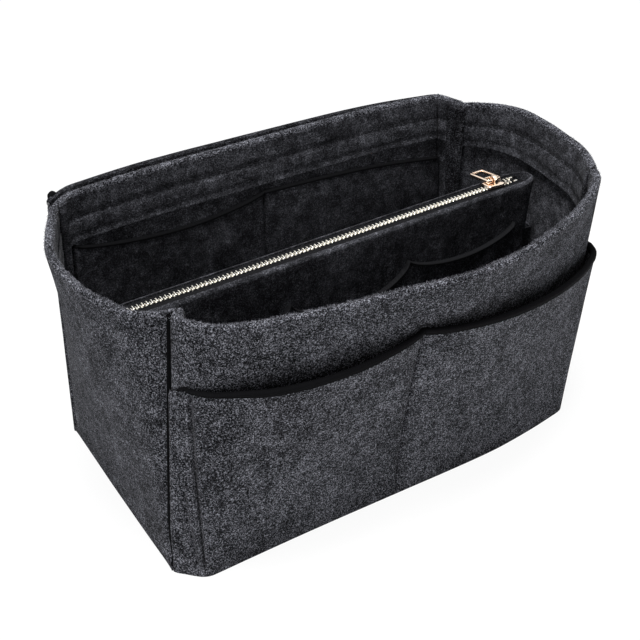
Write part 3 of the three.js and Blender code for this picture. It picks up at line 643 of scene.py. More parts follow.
def add_math(tree, operation, a, b):
    return add_node(tree, "Math", {0: a, 1: b}, operation=operation).outputs[0]


def times(tree, a, b):
    return add_math(tree, "MULTIPLY", a, b)


def minus(tree, a, b):
    return add_math(tree, "SUBTRACT", a, b)


def total(tree, *values):
    result = values[0]
    for value in values[1:]:
        result = add_math(tree, "ADD", result, value)
    return result


def add_mix(tree, share, a, b):
    node = add_node(tree, "Mix", data_type="RGBA")
    for name, value in (("Factor", share), ("A", a), ("B", b)):
        join(tree, next(s for s in node.inputs if s.name == name and s.enabled), value)
    return next(s for s in node.outputs if s.enabled)


def add_ramp(tree, value, low, high):
    links = {"Value": value, "From Min": low, "From Max": high}
    return add_node(tree, "MapRange", links, interpolation_type="SMOOTHSTEP").outputs[0]


def fibre_layer(tree, vector, turn, size, width, strength=1.0):
    """Thin curly lines where a noise crosses its middle value: the strength on a line and 0 off it."""
    mapping = add_node(tree, "Mapping", {"Vector": vector, "Rotation": turn})
    links = {"Vector": mapping.outputs[0], "Scale": size, "Detail": 1.0, "Distortion": 1.4}
    wave = add_node(tree, "TexNoise", links, noise_dimensions="3D")
    away = add_node(tree, "Math", {0: minus(tree, wave.outputs[0], 0.5)}, operation="ABSOLUTE")
    return times(tree, minus(tree, 1.0, add_ramp(tree, away.outputs[0], 0.0, width)), strength)


def swing(tree, vector, size, detail, roughness, amount):
    """A noise about zero, times an amount: how many times the shade doubles or halves."""
    links = {"Vector": vector, "Scale": size, "Detail": detail, "Roughness": roughness}
    cloud = add_node(tree, "TexNoise", links, noise_dimensions="3D")
    return times(tree, minus(tree, cloud.outputs[0], 0.5), amount)


def heather_group():
    """Pressed felt of mixed fibres: salt-and-pepper specks, curly light and dark fibres, cloudy patches."""
    inputs = {"Felt": (0.05, 0.05, 0.055, 1), "Speck strength": 1.0, "Patch strength": 1.0, "Painted rim highlight": 0.0}
    group, given, result = new_group("heather_felt", inputs, ("Color", "Height"))
    vector = given["Vector"]
    light, dark = (
        total(group, *(fibre_layer(group, vector, *layer) for layer in layers))
        for layers in (LIGHT_FIBRES, DARK_FIBRES)
    )
    specks = total(group, *(swing(group, vector, *speck) for speck in SPECKS), minus(group, light, dark))
    patches = total(group, *(swing(group, vector, *patch) for patch in PATCHES))
    power = total(
        group,
        times(group, specks, given["Speck strength"]),
        times(group, patches, given["Patch strength"]),
    )
    # Both ends of the range are squeezed, so no speck is white or quite black
    curve = add_ramp(group, power, *SPECK_RANGE)
    # A painted highlight: the felt is lightened towards the top of the rim, where top light catches it
    height = add_node(group, "SeparateXYZ", {0: vector}).outputs[2]
    below = minus(group, RIM_HEIGHT * MM, height)
    rim_light = minus(group, 1.0, add_ramp(group, below, *RIM_HIGHLIGHT_REACH))
    rim_light = times(group, rim_light, given["Painted rim highlight"])
    doublings = total(group, times(group, curve, SHADE_RANGE), DARKEST, rim_light)
    value = add_math(group, "POWER", 2.0, doublings)
    final = add_node(group, "HueSaturation", {"Color": given["Felt"], "Value": value})
    join(group, result.inputs["Color"], final.outputs[0])
    join(group, result.inputs["Height"], times(group, specks, 0.12))
    return group


def weave_group():
    """Fine woven tape: crossing yarns, with slow shade changes along it."""
    inputs = {"Yarn": (0.02, 0.02, 0.022, 1), "Between": (0.005, 0.005, 0.006, 1), "Yarns per metre": 2200.0}
    group, given, result = new_group("woven_tape", inputs, ("Color", "Height"))
    links = {0: given["Vector"], "Scale": given["Yarns per metre"]}
    scaled = add_node(group, "VectorMath", links, operation="SCALE")
    x, y, z = add_node(group, "SeparateXYZ", {0: scaled.outputs[0]}).outputs
    warp = add_node(group, "Math", {0: total(group, x, y)}, operation="SINE")
    weft = add_node(group, "Math", {0: total(group, z, y)}, operation="SINE")
    cross = times(group, warp.outputs[0], weft.outputs[0])
    cloud = add_node(group, "TexNoise", {"Vector": given["Vector"], "Scale": 180.0, "Detail": 3.0})
    share = add_ramp(group, total(group, cross, cloud.outputs[0]), -0.6, 1.3)
    join(group, result.inputs["Color"], add_mix(group, share, given["Between"], given["Yarn"]))
    join(group, result.inputs["Height"], cross)
    return group


def metal_group():
    """Plated metal: rubbed patches and hair scratches."""
    inputs = {"Plating": (0.9, 0.7, 0.5, 1), "Rubbed": (0.8, 0.6, 0.4, 1), "Polish": 0.2}
    group, given, result = new_group("plated_wear", inputs, ("Color", "Roughness", "Height"))
    vector = given["Vector"]
    cloud = add_node(group, "TexNoise", {"Vector": vector, "Scale": 240.0, "Detail": 4.0})
    rubbed = add_ramp(group, cloud.outputs[0], 0.35, 0.75)
    scratch = fibre_layer(group, vector, (0.5, 0.2, 1.1), 650.0, 0.012)
    extra = times(group, total(group, rubbed, scratch), 0.12)
    join(group, result.inputs["Color"], add_mix(group, rubbed, given["Plating"], given["Rubbed"]))
    join(group, result.inputs["Roughness"], total(group, given["Polish"], extra))
    join(group, result.inputs["Height"], scratch)
    return group


def new_material(name, group, values, relief, settings):
    """A material around one effect group. relief is its strength and depth, and the settings are
    values of the shader's own sockets."""
    material = bpy.data.materials.new(name)
    material.use_nodes = True
    tree = material.node_tree
    shader = next(n for n in tree.nodes if n.type == "BSDF_PRINCIPLED")
    effect = tree.nodes.new("ShaderNodeGroup")
    effect.node_tree = group
    join(tree, effect.inputs["Vector"], add_node(tree, "TexCoord").outputs["Object"])
    for key, value in values.items():
        effect.inputs[key].default_value = value
    join(tree, shader.inputs["Base Color"], effect.outputs["Color"])
    if "Roughness" in effect.outputs:
        join(tree, shader.inputs["Roughness"], effect.outputs["Roughness"])
    links = {"Height": effect.outputs["Height"], "Strength": relief[0], "Distance": relief[1]}
    join(tree, shader.inputs["Normal"], add_node(tree, "Bump", links).outputs[0])
    for key, value in settings.items():
        shader.inputs[key].default_value = value
    return material


def shade(level, warm=0.985, cool=1.14):
    return (level * warm, level, level * cool, 1)


def felt(level, specks=1.0, rim_highlight=0.0, patches=1.0):
    return {"Felt": shade(level), "Speck strength": specks, "Painted rim highlight": rim_highlight, "Patch strength": patches}


def weave(yarn, between, fineness=6000.0):
    return {"Yarn": shade(yarn), "Between": shade(between), "Yarns per metre": fineness}


def plating(color, rubbed, polish):
    return {"Plating": (*color, 1), "Rubbed": (*rubbed, 1), "Polish": polish}


def cloth(roughness=1.0, gleam=0.0, sheen=0.0):
    settings = {"Roughness": roughness, "Specular IOR Level": gleam}
    if sheen:
        settings |= {"Sheen Weight": sheen, "Sheen Roughness": 0.4}
    return settings


def make_materials():
    heather, woven, plated = heather_group(), weave_group(), metal_group()
    gold = plating((0.99, 0.84, 0.7), (0.93, 0.68, 0.52), 0.1)
    pale_gold = plating((1.0, 0.97, 0.9), (0.96, 0.91, 0.8), 0.2)
    tape_relief = (0.3, 0.00015)
    # name, effect, its values, relief, settings
    rows = {
        "felt": ("charcoal_heather_felt", heather, felt(0.028, 1, 0.4), (0.35, 0.0004), cloth(sheen=0.04)),
        # The inside faces' copy of the felt, with its own tone and softer specks: painted shade
        "lining": ("inside_painted_shade_felt", heather, felt(0.036, 0.42, 0.6), (0.3, 0.0004), cloth(sheen=0.03)),
        # The copy of the felt for the pockets, pouch, tabs and seam deep inside, with its own tone and softer
        # specks: painted shade
        "inner_felt": ("deep_painted_shade_felt", heather, felt(0.03, 0.38), (0.3, 0.0004), cloth()),
        "binding": ("black_binding_tape", woven, weave(0.0035, 0.0015), tape_relief, cloth(0.9, 0.02)),
        "slip_binding": ("slip_pocket_binding", woven, weave(0.0065, 0.003), tape_relief, cloth(0.8, 0.05)),
        # A lighter copy of the charcoal binding: painted top light on the back mouth's tape; the flat seam
        # tape takes it too
        "dusty_binding": ("binding_painted_top_light", heather, felt(0.014, 0.8), (0.3, 0.0003), cloth(0.9, 0.02)),
        # The loose fibres are far lighter than the felt they come from: a painted highlight along the rims
        "fuzz": ("felt_fuzz_painted_highlight", heather, felt(0.22, 0.3, 0, 0.3), (0.1, 0.0001), cloth()),
        "tape": ("black_zip_tape", woven, weave(0.0065, 0.0025, 5200.0), (0.4, 0.0002), cloth(0.8, 0.04)),
        "thread": ("charcoal_thread", woven, weave(0.012, 0.005, 14000.0), (0.4, 0.0001), cloth(0.7, 0.05)),
        "teeth": ("pale_gold_teeth", plated, pale_gold, (0.15, 0.00005), {"Metallic": 1.0}),
        "gold": ("rose_gold_slider", plated, gold, (0.15, 0.00005), {"Metallic": 1.0}),
    }
    return SimpleNamespace(**{kind: new_material(*row) for kind, row in rows.items()})


# Camera, light and floor


def end_in_mix(tree, share, first, second, output):
    """Ends a cleared tree in a mix of two shaders."""
    chosen = add_node(tree, "MixShader", {0: share, 1: first.outputs[0], 2: second.outputs[0]})
    add_node(tree, output, {0: chosen.outputs[0]})


def make_stage():
    camera = add_object("camera", bpy.data.cameras.new("camera"))
    camera.data.lens = CAMERA_LENS
    camera.data.sensor_width = CAMERA_SENSOR
    back = CAMERA_RIGHT.cross(CAMERA_UP)
    turn = Matrix((CAMERA_RIGHT, CAMERA_UP, back)).transposed().to_4x4()
    camera.matrix_world = Matrix.Translation(CAMERA_PLACE) @ turn
    bpy.context.scene.camera = camera
    bpy.context.scene.view_settings.view_transform = "Standard"

    for name, place, size, power in LAMPS:
        light = bpy.data.lights.new(name, "AREA")
        light.size = size
        light.energy = power
        lamp = add_object(name, light)
        lamp.location = place
        lamp.rotation_euler = (LAMP_AIM - Vector(place)).to_track_quat("-Z", "Y").to_euler()

    world = bpy.data.worlds.new("studio")
    bpy.context.scene.world = world
    world.use_nodes = True
    tree = world.node_tree
    tree.nodes.clear()
    path = add_node(tree, "LightPath")
    seen = path.outputs["Is Camera Ray"]
    for ray in ("Is Transmission Ray", "Is Glossy Ray"):
        seen = add_math(tree, "MAXIMUM", seen, path.outputs[ray])
    soft = add_node(tree, "Background", {"Color": (0.96, 0.98, 1, 1), "Strength": 0.34})
    white = add_node(tree, "Background", {"Color": (1, 1, 1, 1), "Strength": 1.0})
    end_in_mix(tree, seen, soft, white, "OutputWorld")

    material = bpy.data.materials.new("pale_floor")
    material.use_nodes = True
    tree = material.node_tree
    tree.nodes.clear()
    path = add_node(tree, "LightPath")
    share = times(tree, path.outputs["Is Camera Ray"], FLOOR_GLOW)
    paper = add_node(tree, "BsdfDiffuse", {"Color": (0.9, 0.9, 0.9, 1)})
    glow = add_node(tree, "Emission", {"Color": (1, 1, 1, 1), "Strength": 1.0})
    end_in_mix(tree, share, paper, glow, "OutputMaterial")
    mesh = bpy.data.meshes.new("floor")
    angles = np.linspace(0, 2 * math.pi, FLOOR_SIDES, endpoint=False)
    ring = [(FLOOR_REACH * math.cos(a), FLOOR_REACH * math.sin(a), 0) for a in angles]
    mesh.from_pydata(ring, [], [tuple(range(FLOOR_SIDES))])
    mesh.materials.append(material)
    add_object("floor", mesh)


# The outline of the four walls


def corner_point(name, kind, share):
    side, face, lines = CORNERS[name]
    (x0, y0), (x1, y1) = lines[kind]
    x = side * (BASE_LENGTH / 2 - mix(x0, x1, share))
    y = face * (BASE_DEPTH / 2 - mix(y0, y1, share))
    return np.stack([x, y], -1)


def wall_stations(wall):
    """Places along a wall: -1 to 0 and 1 to 2 on its flanges, 0 to 1 between its folds."""
    body = np.arange(wall.steps) / wall.steps
    if wall.flanged:
        flange = np.arange(FLANGE_STEPS) / FLANGE_STEPS
        return np.concatenate([flange - 1, body, flange + 1])
    beside = np.array(SEAM_STEPS)
    return np.sort(np.concatenate([body, beside, 1 - beside]))


def wall_points(wall, heights):
    share = heights / RIM_HEIGHT
    end = "fold" if wall.flanged else "seam"
    first, last = (corner_point(c, end, share) for c in wall.corners)
    chord = last - first
    out = unit(np.stack([chord[:, 1], -chord[:, 0]], -1))
    rows = []
    for place in wall_stations(wall):
        if place < 0:
            rows.append(mix(corner_point(wall.corners[0], "seam", share), first, place + 1))
        elif place > 1:
            rows.append(mix(last, corner_point(wall.corners[1], "seam", share), place - 1))
        else:
            floor, rim = (b * smooth(s, np.array([place]))[0] for b, s in zip(wall.bow, wall.shape))
            bow = mix(floor, rim, share**FLARE_POWER)
            if wall is WALLS["front"]:
                bow = bow + smooth(FRONT_SPREAD, np.array([place]))[0] * share**FRONT_SPREAD_POWER
            rows.append(mix(first, last, place) + out * bow[:, None])
    return np.array(rows)


def make_walls_shell():
    heights = np.arange(0, TOP_LEVEL + LEVEL_STEP, LEVEL_STEP, dtype=float)
    walls = list(WALLS.values())
    blocks = [wall_points(wall, heights) for wall in walls]
    parts, start = [], 0
    for k, wall in enumerate(walls):
        block = np.concatenate([blocks[k], blocks[(k + 1) % 4][:1]])
        if wall.flanged:
            # Rounds the folds; the two ends stay
            for _ in range(FOLD_SOFTENING):
                block[1:-1] = (block[:-2] + 2 * block[1:-1] + block[2:]) / 4
        parts.append(block[:-1])
        wall.first = start
        start += len(block) - 1
        wall.last = start
    points = np.concatenate(parts)
    lift = np.zeros(points.shape[:2])
    for i in range(points.shape[0]):
        for j, height in enumerate(heights):
            spot = (*points[i, j], height)
            rise = mix(RIPPLE_AT_FLOOR, 1, min(height / RIM_HEIGHT, 1))
            lift[i, j] = rise * sum(a * swell(spot, s, s) for s, a in RIPPLE)
    return Shell(points - unit(Shell(points).inward) * lift[..., None])


def seam_roll(shell, wall, index, heights):
    """How far a wall's panel rolls in beside its two seams, for n stations and m heights."""
    place = shell.place(index)
    roll = 0
    ends = (place - shell.arc[wall.first], shell.arc[wall.last] - place)
    for distance, (depth, reach) in zip(ends, wall.rolls):
        share = np.clip(1 - distance / reach, 0, 1)
        roll = roll + depth * (1 - np.sqrt(1 - share**2)) ** ROLL_POWER
    fade = mix(1 if wall.flanged else SEAM_ROLL_AT_FOOT, 1, smoothstep(heights, *FOOT_FADE))
    return roll[:, None] * fade


def along_wall(wall, index):
    """Share of the way between a flanged wall's folds."""
    return np.clip((index - wall.first - FLANGE_STEPS) / wall.steps, 0, 1)


def body_length(shell, wall):
    return shell.arc[wall.last - FLANGE_STEPS] - shell.arc[wall.first + FLANGE_STEPS]


# Panels


def wall_levels():
    """Inset and height of a wall's outside and inside, with the rounded foot, the hem's raw edge and
    the rim."""
    hem_foot = RIM_HEIGHT - HEM_DEPTH
    shoulder = RIM_HEIGHT - RIM_ROUND
    turn = np.linspace(0, math.pi / 2, 6)[1:]
    foot = [(FOOT_ROUND * (1 - math.sin(a)), FOOT_ROUND * (1 - math.cos(a))) for a in (0, 0.5, 1.0)]
    low = [(0, z) for z in np.linspace(4, hem_foot - 3, 30)]
    edge = [(0, z) for z in (hem_foot - 1, hem_foot, hem_foot + 0.6, hem_foot + 1.6, hem_foot + 2.6)]
    high = [(0, z) for z in np.linspace(hem_foot + 4, shoulder, 18)]
    cap = [(FELT * (1 - math.cos(a)), mix(shoulder, RIM_HEIGHT, math.sin(a))) for a in turn]
    inner_edge = (
        (FELT, hem_foot - 1),
        (FELT, hem_foot + 1.2),
        (FELT + HEM_LIFT, hem_foot + 0.5),
        (2 * FELT + 0.2, hem_foot + 0.4),
        (2 * FELT + HEM_LIFT, hem_foot + 1.5),
    )
    inside = [(FELT - inset, z) for inset, z in foot] + [(FELT, FOOT_ROUND)]
    inside += [(FELT, z) for _, z in low] + [*inner_edge]
    inside += [(2 * FELT - inset, z) for inset, z in high + cap]
    return np.array([*foot, (0, FOOT_ROUND), *low, *edge, *high, *cap]), np.array(inside)


def furrow(distance, depth, reach):
    """Depth of the furrow that a row of stitches or a crease pulls into felt."""
    return depth * np.exp(-((distance / reach) ** 2))


def make_wall(shell, name, materials):
    wall = WALLS[name]
    index = np.arange(wall.first, wall.last + 1.0)
    outside, inside = wall_levels()
    rows = (RIM_HEIGHT - HEM_STITCH_DROP, RIM_HEIGHT - HEM_DEPTH + HEM_EDGE_STITCH)
    dents = sum(furrow(inside[None, :, 1] - row, *STITCH_DIMPLE) for row in rows)
    if name == "back":
        fold = wall.first + FLANGE_STEPS
        index = np.union1d(index, np.arange(fold - 1.5, fold + 1.5, FINE_STEP))
        from_fold = shell.place(index) - shell.arc[fold]
        dents = dents + furrow(from_fold, *BACK_FOLD_CREASE)[:, None]
    roll = seam_roll(shell, wall, index, outside[None, :, 1])
    outer = shell.grid(index, outside[None, :, 1], outside[None, :, 0] + roll)
    inner = shell.grid(index, inside[None, :, 1], inside[None, :, 0] - dents + INNER_ROLL * roll)
    panel = add_slab(f"{name}_panel_felt", outer, inner, materials.felt, wall.gaps)
    # Below the turn of the rim the inner side takes a copy of the felt toned as painted shade for the inside
    n, m = outer.shape[:2]
    shaded_rows = (inside[:, 0] >= 2 * FELT).nonzero()[0][-1]
    face = np.arange(len(panel.data.polygons))
    on_inner_side = face // ((n - 1) * (m - 1)) == 1
    line_faces(panel, on_inner_side & (face % (m - 1) < shaded_rows), materials.lining)
    for place, row in zip(("upper", "lower"), rows):
        lie = 2 * FELT - STITCH_DIMPLE[0]
        path, beyond = (shell.row(index[2:-2], row, lie + extra) for extra in (0, 1))
        add_stitches(f"{name}_hem_{place}_thread", path, beyond, materials.thread)
    arch = (FELT, RIM_HEIGHT - RIM_ROUND, FELT, RIM_ROUND)
    add_fuzz(f"{name}_rim_fuzz", shell, index, arch, materials.fuzz, wall.first)
    dress(panel, "felt", f"{name}_panel")


def make_base(shell, materials):
    """The flat bottom panel, as rings from the middle of its underside round its edge, which is drawn
    into the walls' felt, to the middle of its top."""
    edge = shell.row(np.arange(len(shell.points)), 0, FELT - SEAM_GAP)[:, :2]
    rings = [np.column_stack([edge * share, np.zeros(len(edge))]) for share in BASE_RINGS]
    tops = [ring + (0, 0, BASE_THICKNESS) for ring in rings]
    base = add_loft("base_panel_felt", [*rings[::-1], *tops], materials.felt)
    base.data.shade_flat()
    dress(base, "felt", "base_panel")


# Pockets


def pocket_share(pocket, along, stitches):
    """Which pocket of the row each place belongs to, and how far across that pocket it is."""
    stitches = np.array(stitches)
    k = np.clip(np.searchsorted(stitches, along, side="left") - 1, 0, len(pocket.scoop) - 1)
    return k, np.clip((along - stitches[k]) / (stitches[k + 1] - stitches[k]), 0, 1)


def mouth_height(pocket, along):
    k, share = pocket_share(pocket, np.minimum(along, 1), pocket.stitches)
    sewn, scoop = np.array(pocket.sewn, float), np.array(pocket.scoop, float)
    middle = (sewn[k] + sewn[k + 1]) / 2
    arch = np.abs(np.sin(math.pi * share)) ** pocket.fullness
    return pocket.edge - mix(sewn[k], sewn[k + 1], share) - (scoop[k] - middle) * arch


def stand_off(pocket, along, rise):
    """How far a pocket stands off its wall."""
    stitches = pocket.stitches
    if pocket.lean:
        middle, last = stitches[1], pocket.round_corner
        stitches = (0, middle, last)
        tent = np.minimum(along / middle, (last - along) / (last - middle))
        along = along - pocket.lean * (1 - rise) * np.clip(tent, 0, 1)
    share = pocket_share(pocket, along, stitches)[1]
    return pocket.puff * np.abs(np.sin(math.pi * share)) ** PUFF_FULLNESS * rise**PUFF_RISE


def add_pocket(shell, pocket, index, along, cloth, cover, dents=0, dip=0.0, taper=1.0, bare=0):
    """The felt of a row of pockets and the tape that binds their mouth. dip lowers the mouth, taper is
    the tape's share of its usual height, and the first bare stations have no tape."""
    name, side, wall = pocket.name, pocket.side, WALLS.get(pocket.wall)
    ends = (SEAM_GAP, SEAM_GAP)
    top = (mouth_height(pocket, along) - dip)[:, None]
    rises = np.linspace(0, 1, POCKET_ROWS)[None]
    heights = mix(pocket.foot, top - BINDING_CLOTH - POCKET_EDGE_DROP, rises)
    roll = seam_roll(shell, wall, index, heights) if wall else 0
    if pocket is FRONT_POCKET:
        from_seam = shell.place(index)[:, None] - shell.arc[wall.first]
        low = 1 - smoothstep(heights, *FOOT_TUCK_HEIGHTS)
        roll = roll + FOOT_TUCK * low * (1 - smoothstep(from_seam, *FOOT_TUCK_REACH))
    away = GAP + stand_off(pocket, along[:, None], rises)
    near = pocket.face + side * away
    far = pocket.face + side * (away + FELT)
    outer, inner = (near, far) if side > 0 else (far, near)
    outer = outer + roll + (dents if side < 0 else 0)
    inner = inner + roll - (dents if side > 0 else 0)
    edge = FELT / 2 * (1 - np.sqrt(np.clip(1 - np.clip((rises - 0.985) / 0.015, 0, 1) ** 2, 0, 1)))
    sides = (shell.grid(index, heights, inset) for inset in (outer + edge, inner - edge))
    dress(add_slab(f"{name}_felt", *sides, cloth, ends), "felt", f"{name}_panel")

    reach = GAP + stand_off(pocket, along, 1.0)
    roll = seam_roll(shell, wall, index, top) if wall else 0
    middle = (pocket.face + side * (reach + FELT / 2))[:, None] + roll
    half = (FELT / 2 + np.minimum(BINDING_LAP, reach - BINDING_CLEARANCE))[:, None]
    legs = np.linspace(0, 1, 5)[:-1]
    shown = np.broadcast_to(BINDING_HEIGHT * taper, along.shape)[:, None]
    low, shoulder = top - shown, top - BINDING_SHOULDER * shown
    rim = [(-1, mix(low, shoulder, s)) for s in legs]
    rim += [(-math.cos(a), mix(shoulder, top, math.sin(a))) for a in np.linspace(0, math.pi, 9)]
    rim += [(1, mix(low, shoulder, s)) for s in legs[::-1]]
    out_height = [z for _, z in rim]
    in_height = [z - BINDING_CLOTH * max(0.0, 1 - abs(s) ** 4) for s, z in rim]
    sides = []
    for width, levels in ((half, out_height), (half - BINDING_CLOTH, in_height)):
        inset = np.concatenate([middle + width * s for s, _ in rim], 1)
        sides.append(shell.grid(index, np.concatenate(levels, 1), inset)[bare:])
    dress(add_slab(f"{name}_tape", *sides, cover, ends), "edge_binding", f"{name}_binding")


def between_stations(shell, index, heights, inset):
    """Points at fractional stations, one for each height."""
    low = np.floor(index).astype(int)
    pick = np.arange(len(index))
    one, two = (shell.grid(low + k, heights[None], inset[None])[pick, pick] for k in (0, 1))
    return mix(one, two, (index - low)[:, None])


def add_pocket_stitches(shell, pocket, along, index, rows, material):
    """Rows of stitches that hold a pocket to the outside of its wall, from the mouth to the foot."""
    for number, row in enumerate(rows):
        top = mouth_height(pocket, row[-1:])[0] - BINDING_HEIGHT - 0.8
        heights = mix(4.0, top, np.linspace(0, 1, POCKET_ROWS))
        place = np.interp(row, along, index)
        lie = np.full(POCKET_ROWS, -(GAP + FELT) + CENTRE_CREASE[0] - 0.1)
        path, beyond = (between_stations(shell, place, heights, lie - extra) for extra in (0, 1))
        add_stitches(f"{pocket.name}_row_{number + 1}_thread", path, beyond, material)


def stations(*spans):
    """The stations of several spans, each with its first, its end and its step."""
    return np.concatenate([np.arange(*span) for span in spans])


def make_front_pocket(walls, materials):
    front, pocket = WALLS["front"], FRONT_POCKET
    fold = front.first + FLANGE_STEPS
    centre = fold + pocket.stitches[1] * front.steps
    fine = (fold + 4, centre - 3, centre + pocket.lean * front.steps + 3)
    index = stations(
        (front.first, fine[0], FINE_STEP),
        (fine[0], fine[1], 1.0),
        (fine[1], fine[2], FINE_STEP),
        (math.ceil(fine[2]), front.last + 1, 1.0),
    )
    past = np.maximum(index - front.last + FLANGE_STEPS, 0) / FLANGE_STEPS
    along = along_wall(front, index) + past * (pocket.round_corner - 1)
    length = body_length(walls, front)
    rises = np.linspace(1, 0, POCKET_ROWS)[None]
    middle = pocket.stitches[1] + pocket.lean * rises
    from_seam = walls.place(index) - walls.arc[front.first]
    past_fold = from_seam[:, None] - (walls.arc[fold] - walls.arc[front.first])
    creases = furrow((along[:, None] - middle) * length, *CENTRE_CREASE)
    creases = creases + furrow(past_fold - FOLD_CREASE_DRIFT * (1 - rises) ** 4, *FOLD_CREASE)
    near_foot, growth = CORNER_CREASE_PATH
    fading = 1 - smoothstep(1 - rises, *CORNER_CREASE_END)
    creases = creases + fading * furrow(past_fold + near_foot + growth * (1 - rises), *CORNER_CREASE)
    creases = creases * smoothstep(1 - rises, *CREASE_FOOT)
    dip = smooth(CORNER_DIP, from_seam)
    taper = mix(CORNER_TAPER, 1, smoothstep(from_seam, *CORNER_TAPER_REACH))
    bare = int(np.searchsorted(from_seam, TAPE_START))
    add_pocket(walls, pocket, index, along, materials.felt, materials.binding, creases, dip, taper, bare)
    at_fold = 0.0001 + FOLD_CREASE_DRIFT / length * (1 - rises[0]) ** 4
    add_pocket_stitches(walls, pocket, along, index, (at_fold, middle[0]), materials.thread)


def make_back_pockets(walls, materials):
    back, pocket = WALLS["back"], INNER_POCKET
    index = np.arange(back.first, back.last + 1)
    along = along_wall(back, index)
    # The back mouth's tape takes the lighter copy of the binding: painted top light
    cloth, cover = materials.felt, materials.dusty_binding
    add_pocket(walls, BACK_POCKET, index, along, cloth, cover, 0, BACK_MOUTH_DIP, BACK_TAPE)

    # The turned-in end of the back mouth's tape, which stands out beside the left corner
    heights = RIM_HEIGHT + np.linspace(*TAPE_CURL, 9)[None]
    station = back.last - 0.5 * FLANGE_STEPS
    centre, outer = (walls.column(station, heights, -reach) for reach in CURL_REACH)
    outward = unit(outer - centre)
    across = np.cross(outward, (0, 0, 1))
    curl = add_tube("back_pocket_tape_end", centre, across, outward, *CURL_HALVES, materials.binding)
    dress(curl, "edge_binding")

    centre = back.first + FLANGE_STEPS + pocket.stitches[1] * back.steps
    index = stations(
        (back.first + FLANGE_STEPS - 2, centre - 3, 1.0),
        (centre - 3, centre + 3, FINE_STEP),
        (math.ceil(centre + 3), back.last - FLANGE_STEPS + 3, 1.0),
    )
    along = along_wall(back, index)
    crease = furrow((along - pocket.stitches[1]) * body_length(walls, back), *CENTRE_CREASE)[:, None]
    cloth, cover = materials.inner_felt, materials.binding
    add_pocket(walls, pocket, index, along, cloth, cover, crease, taper=THIN_TAPE)


# Corner seams


def make_seam_covers(walls, materials):
    """The bound allowances that stand inwards at three corners."""
    front, right, left = (WALLS[name].first for name in ("front", "right", "left"))
    # corner, its station, cloth, shares of the usual width and depth, shift
    covers = (
        ("front_left", front, materials.felt, 1.9, 1.25, -0.6),
        ("front_right", right, materials.lining, 0.6, 0.4, 0.0),
        ("back_left", left, materials.inner_felt, 0.55, 0.75, 0.0),
    )
    size, width = SEAM_SWAY
    heights = np.linspace(INNER_FOOT, RIM_HEIGHT - RIM_ROUND, 60)[None]
    for corner, station, cover, wide, deep, shift in covers:
        near, far = (walls.column(station, heights, inset) for inset in (2 * FELT + GAP, 3 * FELT))
        inward = unit(far - near)
        across = np.cross(inward, (0, 0, 1))
        sway = np.array([width * swell((0, 0, z), size, station) for z in heights[0]])[:, None]
        half_wide, half_deep = wide * SEAM_WIDTH / 2, deep * SEAM_ALLOWANCE / 2
        middle = near + inward * (half_deep + 0.1) + across * (sway + shift)
        bar = add_tube(f"{corner}_seam_tape", middle, across, inward, half_wide, half_deep, cover)
        dress(bar, "edge_binding", f"seam_binding_{corner}")


def make_groove_shadow(walls, materials):
    """A black strip on the end wall at the bottom of the front left seam's groove: painted shadow."""
    left = WALLS["left"]
    from_seam = np.linspace(0.1, max(GROOVE_SHADOW_REACH), 34)[::-1]
    index = walls.station(walls.arc[left.last] - from_seam)
    heights = np.linspace(GROOVE_SHADOW_HEIGHTS[0], RIM_HEIGHT - 1, 80)[None]
    spread = from_seam[:, None] / np.interp(heights, GROOVE_SHADOW_HEIGHTS, GROOVE_SHADOW_REACH)
    crown = GROOVE_SHADOW_THICKNESS * np.maximum(1 - spread**6, -2)
    rim = np.clip((heights - RIM_HEIGHT + RIM_ROUND) / RIM_ROUND, 0, 1)
    roll = seam_roll(walls, left, index, heights) + FELT * (1 - np.sqrt(1 - rim**2))
    near = walls.grid(index, heights, roll - crown)
    far = walls.grid(index, heights, roll + 4 * GROOVE_SHADOW_THICKNESS)
    dress(add_slab("front_left_seam_line", near, far, materials.binding), "edge_binding")


def make_flat_tape(walls, materials):
    """The flat tape that covers the back right seam."""
    index = walls.station(walls.arc[WALLS["back"].first] + np.linspace(*FLAT_TAPE, 13))
    heights = np.linspace(INNER_FOOT, RIM_HEIGHT - RIM_ROUND - 1, 60)[None]
    thinner = FLAT_TAPE_THICKNESS / 2 * np.abs(np.linspace(-1, 1, 13)[:, None]) ** 6
    lie = FLAT_TAPE_LIE + thinner
    near = walls.grid(index, heights, lie)
    far = walls.grid(index, heights, lie + FLAT_TAPE_THICKNESS - 2 * thinner + 0.1)
    tape = add_slab("back_right_seam_tape", near, far, materials.dusty_binding)
    dress(tape, "edge_binding", "seam_binding_back_right")


# Divider pouch


def pouch_place(points):
    """From the pouch's own frame to the organizer's."""
    c, s = math.cos(POUCH_TURN), math.sin(POUCH_TURN)
    x, y = points[..., 0], points[..., 1]
    flat = np.stack([c * x - s * y + POUCH_SHIFT[0], s * x + c * y + POUCH_SHIFT[1]], -1)
    return np.concatenate([flat, points[..., 2:]], -1)


